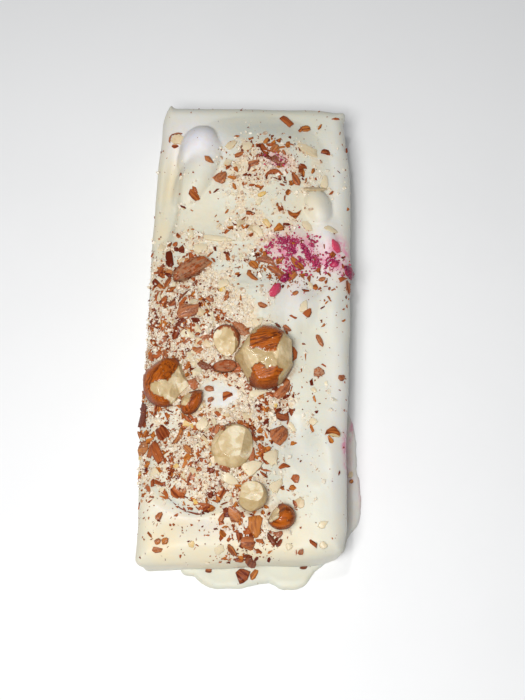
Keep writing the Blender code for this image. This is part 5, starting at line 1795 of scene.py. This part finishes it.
class BAR_OT_meal(bpy.types.Operator):
    """Strew the nut meal and lay the pale chips."""

    bl_idname = "bar.meal"
    bl_label = "Nut meal and chips"

    def execute(self, context):
        look, stain = context.scene.bar_toppings, context.scene.bar_berries.stain_colour
        draw = random.Random(SEED + 2)
        meal = crumb_finish(
            "nut_meal", look.meal_light_colour, look.meal_colour, look.meal_dark_colour, stain, 0.4, 0.15)
        strew(
            "nut_meal", "almond_flesh", crumb_family("meal_shapes", 0.7, draw), meal, look.meal,
            Mark="meal_lies", Smallest=look.meal_smallest, Largest=look.meal_largest,
            Rarity_of_Large_Ones=2.6, Tilt=0.9, Narrowest=0.6, Sink=0.05, Heap=0.0004, Unevenness=0.35,
            Seed=SEED + 20)
        chips = crumb_finish(
            "pale_chips", look.chip_light_colour, look.chip_colour, look.chip_yellow_colour, stain, 0.36,
            0.25)
        parts = Parts()
        for x, y, length, width, turn, power, taper, tone in PALE_CHIPS:
            thick = CHIP_THICKNESS[0] + CHIP_THICKNESS[1] * min(length, width)
            curl = draw.uniform(-0.12, 0.02)
            points, faces = flake_shape(16, length, width, thick, power, taper, 0.0, curl, draw)
            bedded = CHIP_BEDDING * float(drift_share(np.array(x), np.array(y), MEAL_DRIFTS))
            laid = laid_on_top(points, x, y, turn, bedded - 0.15 * thick)
            parts.add(laid, faces, grain=points, tint=tone, stain=0.0)
        rides(parts.made("large_pale_chips", chips, sharp_from=40), "almond_flesh")
        strew(
            "pale_chips", "almond_flesh", crumb_family("chip_shapes", 0.4, draw), chips, look.chips,
            Mark="meal_lies", Smallest=0.0008, Largest=0.0024, Rarity_of_Large_Ones=2.0, Tilt=0.4,
            Narrowest=0.5, Sink=0.0, Heap=0.0004, Unevenness=0.3, Seed=SEED + 30)
        return {"FINISHED"}


class BAR_OT_berries(bpy.types.Operator):
    """Lay the lumps of berry and strew the berry crumbs."""

    bl_idname = "bar.berries"
    bl_label = "Berries"

    def execute(self, context):
        look = context.scene.bar_berries
        finish = crumb_finish(
            "berry", look.pink_colour, look.berry_colour, look.dark_colour, look.berry_colour, 0.28, 0.3)
        unit, faces = unit_sphere(4)
        parts = Parts()
        for x, y, half_length, half_width, half_height, turn, tone in BERRY_BEADS:
            swell = 1.0 + 0.2 * waves(*(unit + x).T, 0.7) + 0.14 * waves(*(unit + y).T, 0.28)
            points = unit * swell[:, None] * np.array([half_length, half_width, half_height])
            parts.add(laid_on_top(points, x, y, turn, 0.35 * half_height), faces, tint=tone, stain=0.0)
        rides(parts.made("berry_lumps", finish), None)
        strew(
            "berry_crumbs", None, bead_family(), finish, look.crumbs, Mark="berry_lies", Smallest=0.00022,
            Largest=0.00075, Rarity_of_Large_Ones=2.0, Tilt=0.8, Narrowest=0.6, Sink=-0.05, Heap=0.0006,
            Unevenness=0.5, Seed=SEED + 40)
        return {"FINISHED"}


def soft_light(name, place, power, side):
    """A square lamp that faces the middle of the bar."""
    light = bpy.data.lights.new(name, "AREA")
    light.energy, light.size = power, side
    made = bpy.data.objects.new(name, light)
    made.location = place
    made.rotation_euler = (-made.location).to_track_quat("-Z", "Y").to_euler()
    bpy.context.scene.collection.objects.link(made)


def photo_camera():
    """A camera where the photograph was taken from."""
    middle = Vector((*BAR_CENTRE, 0.0))
    place, target = (Vector(CAMERA_PLACE) + middle) * MM, (Vector(CAMERA_TARGET) + middle) * MM
    ahead = (target - place).normalized()
    right = ahead.cross(Vector((0.0, 1.0, 0.0))).normalized()
    up = right.cross(ahead)
    c, s = math.cos(math.radians(CAMERA_ROLL)), math.sin(math.radians(CAMERA_ROLL))
    facing = Matrix((c * right + s * up, c * up - s * right, -ahead)).transposed().to_4x4()
    lens = bpy.data.cameras.new("camera")
    lens.sensor_width, lens.lens, lens.clip_start = SENSOR_WIDTH, CAMERA_LENS, 0.01
    made = bpy.data.objects.new("camera", lens)
    made.matrix_world = Matrix.Translation(place) @ facing
    return made


class BAR_OT_stage(bpy.types.Operator):
    """Set the floor, the soft light and the camera."""

    bl_idname = "bar.stage"
    bl_label = "Stage"

    def execute(self, context):
        look, scene = context.scene.bar_stage, context.scene
        ways = ((-1, -1), (1, -1), (1, 1), (-1, 1))
        corners = [(x * FLOOR_REACH, y * FLOOR_REACH, 0.0) for x, y in ways]
        mesh_object("floor", corners, [[0, 1, 2, 3]], floor_finish(look))
        soft_light("soft_lamp", LAMP_PLACE, look.lamp_power, look.lamp_size)
        soft_light("spark_lamp", SPARK_PLACE, look.spark_power, SPARK_SIZE)
        world = bpy.data.worlds.new("sky")
        world.use_nodes = True
        sockets = {"Color": opaque(look.sky_colour), "Strength": look.sky}
        feed(world.node_tree, world.node_tree.nodes["Background"], sockets)
        scene.world = world
        scene.view_settings.view_transform = "Standard"
        scene.camera = photo_camera()
        scene.collection.objects.link(scene.camera)
        return {"FINISHED"}


class BAR_PT_maker(bpy.types.Panel):
    """Lists the bar's pieces and the settings that they are made from."""

    bl_label = "Nut topped bar"
    bl_space_type = "VIEW_3D"
    bl_region_type = "UI"
    bl_category = "Bar"

    def draw(self, context):
        for made in OPERATORS:
            self.layout.operator(made.bl_idname)
        for key in SETTINGS:
            box = self.layout.box()
            settings = getattr(context.scene, key)
            for name in settings.__annotations__:
                box.prop(settings, name)


SETTINGS = {
    "bar_coating": BarCoatingLook,
    "bar_nuts": BarNutLook,
    "bar_toppings": BarToppingLook,
    "bar_berries": BarBerryLook,
    "bar_stage": BarStageLook,
}
OPERATORS = (BAR_OT_coating, BAR_OT_nuts, BAR_OT_flakes, BAR_OT_meal, BAR_OT_berries, BAR_OT_stage)


def register():
    """Makes the settings, the operators and the panel known."""
    for made in (*SETTINGS.values(), *OPERATORS, BAR_PT_maker):
        bpy.utils.register_class(made)
    for key, made in SETTINGS.items():
        setattr(bpy.types.Scene, key, PointerProperty(type=made))


def unregister():
    """Takes them away again."""
    for key in SETTINGS:
        delattr(bpy.types.Scene, key)
    for made in (BAR_PT_maker, *reversed(OPERATORS), *reversed(list(SETTINGS.values()))):
        bpy.utils.unregister_class(made)


def main():
    """Makes every piece in order."""
    register()
    make_shared_effects()
    bpy.ops.bar.coating()
    bpy.ops.bar.nuts()
    bpy.ops.bar.flakes()
    bpy.ops.bar.meal()
    bpy.ops.bar.berries()
    bpy.ops.bar.stage()


if __name__ == "__main__":
    main()
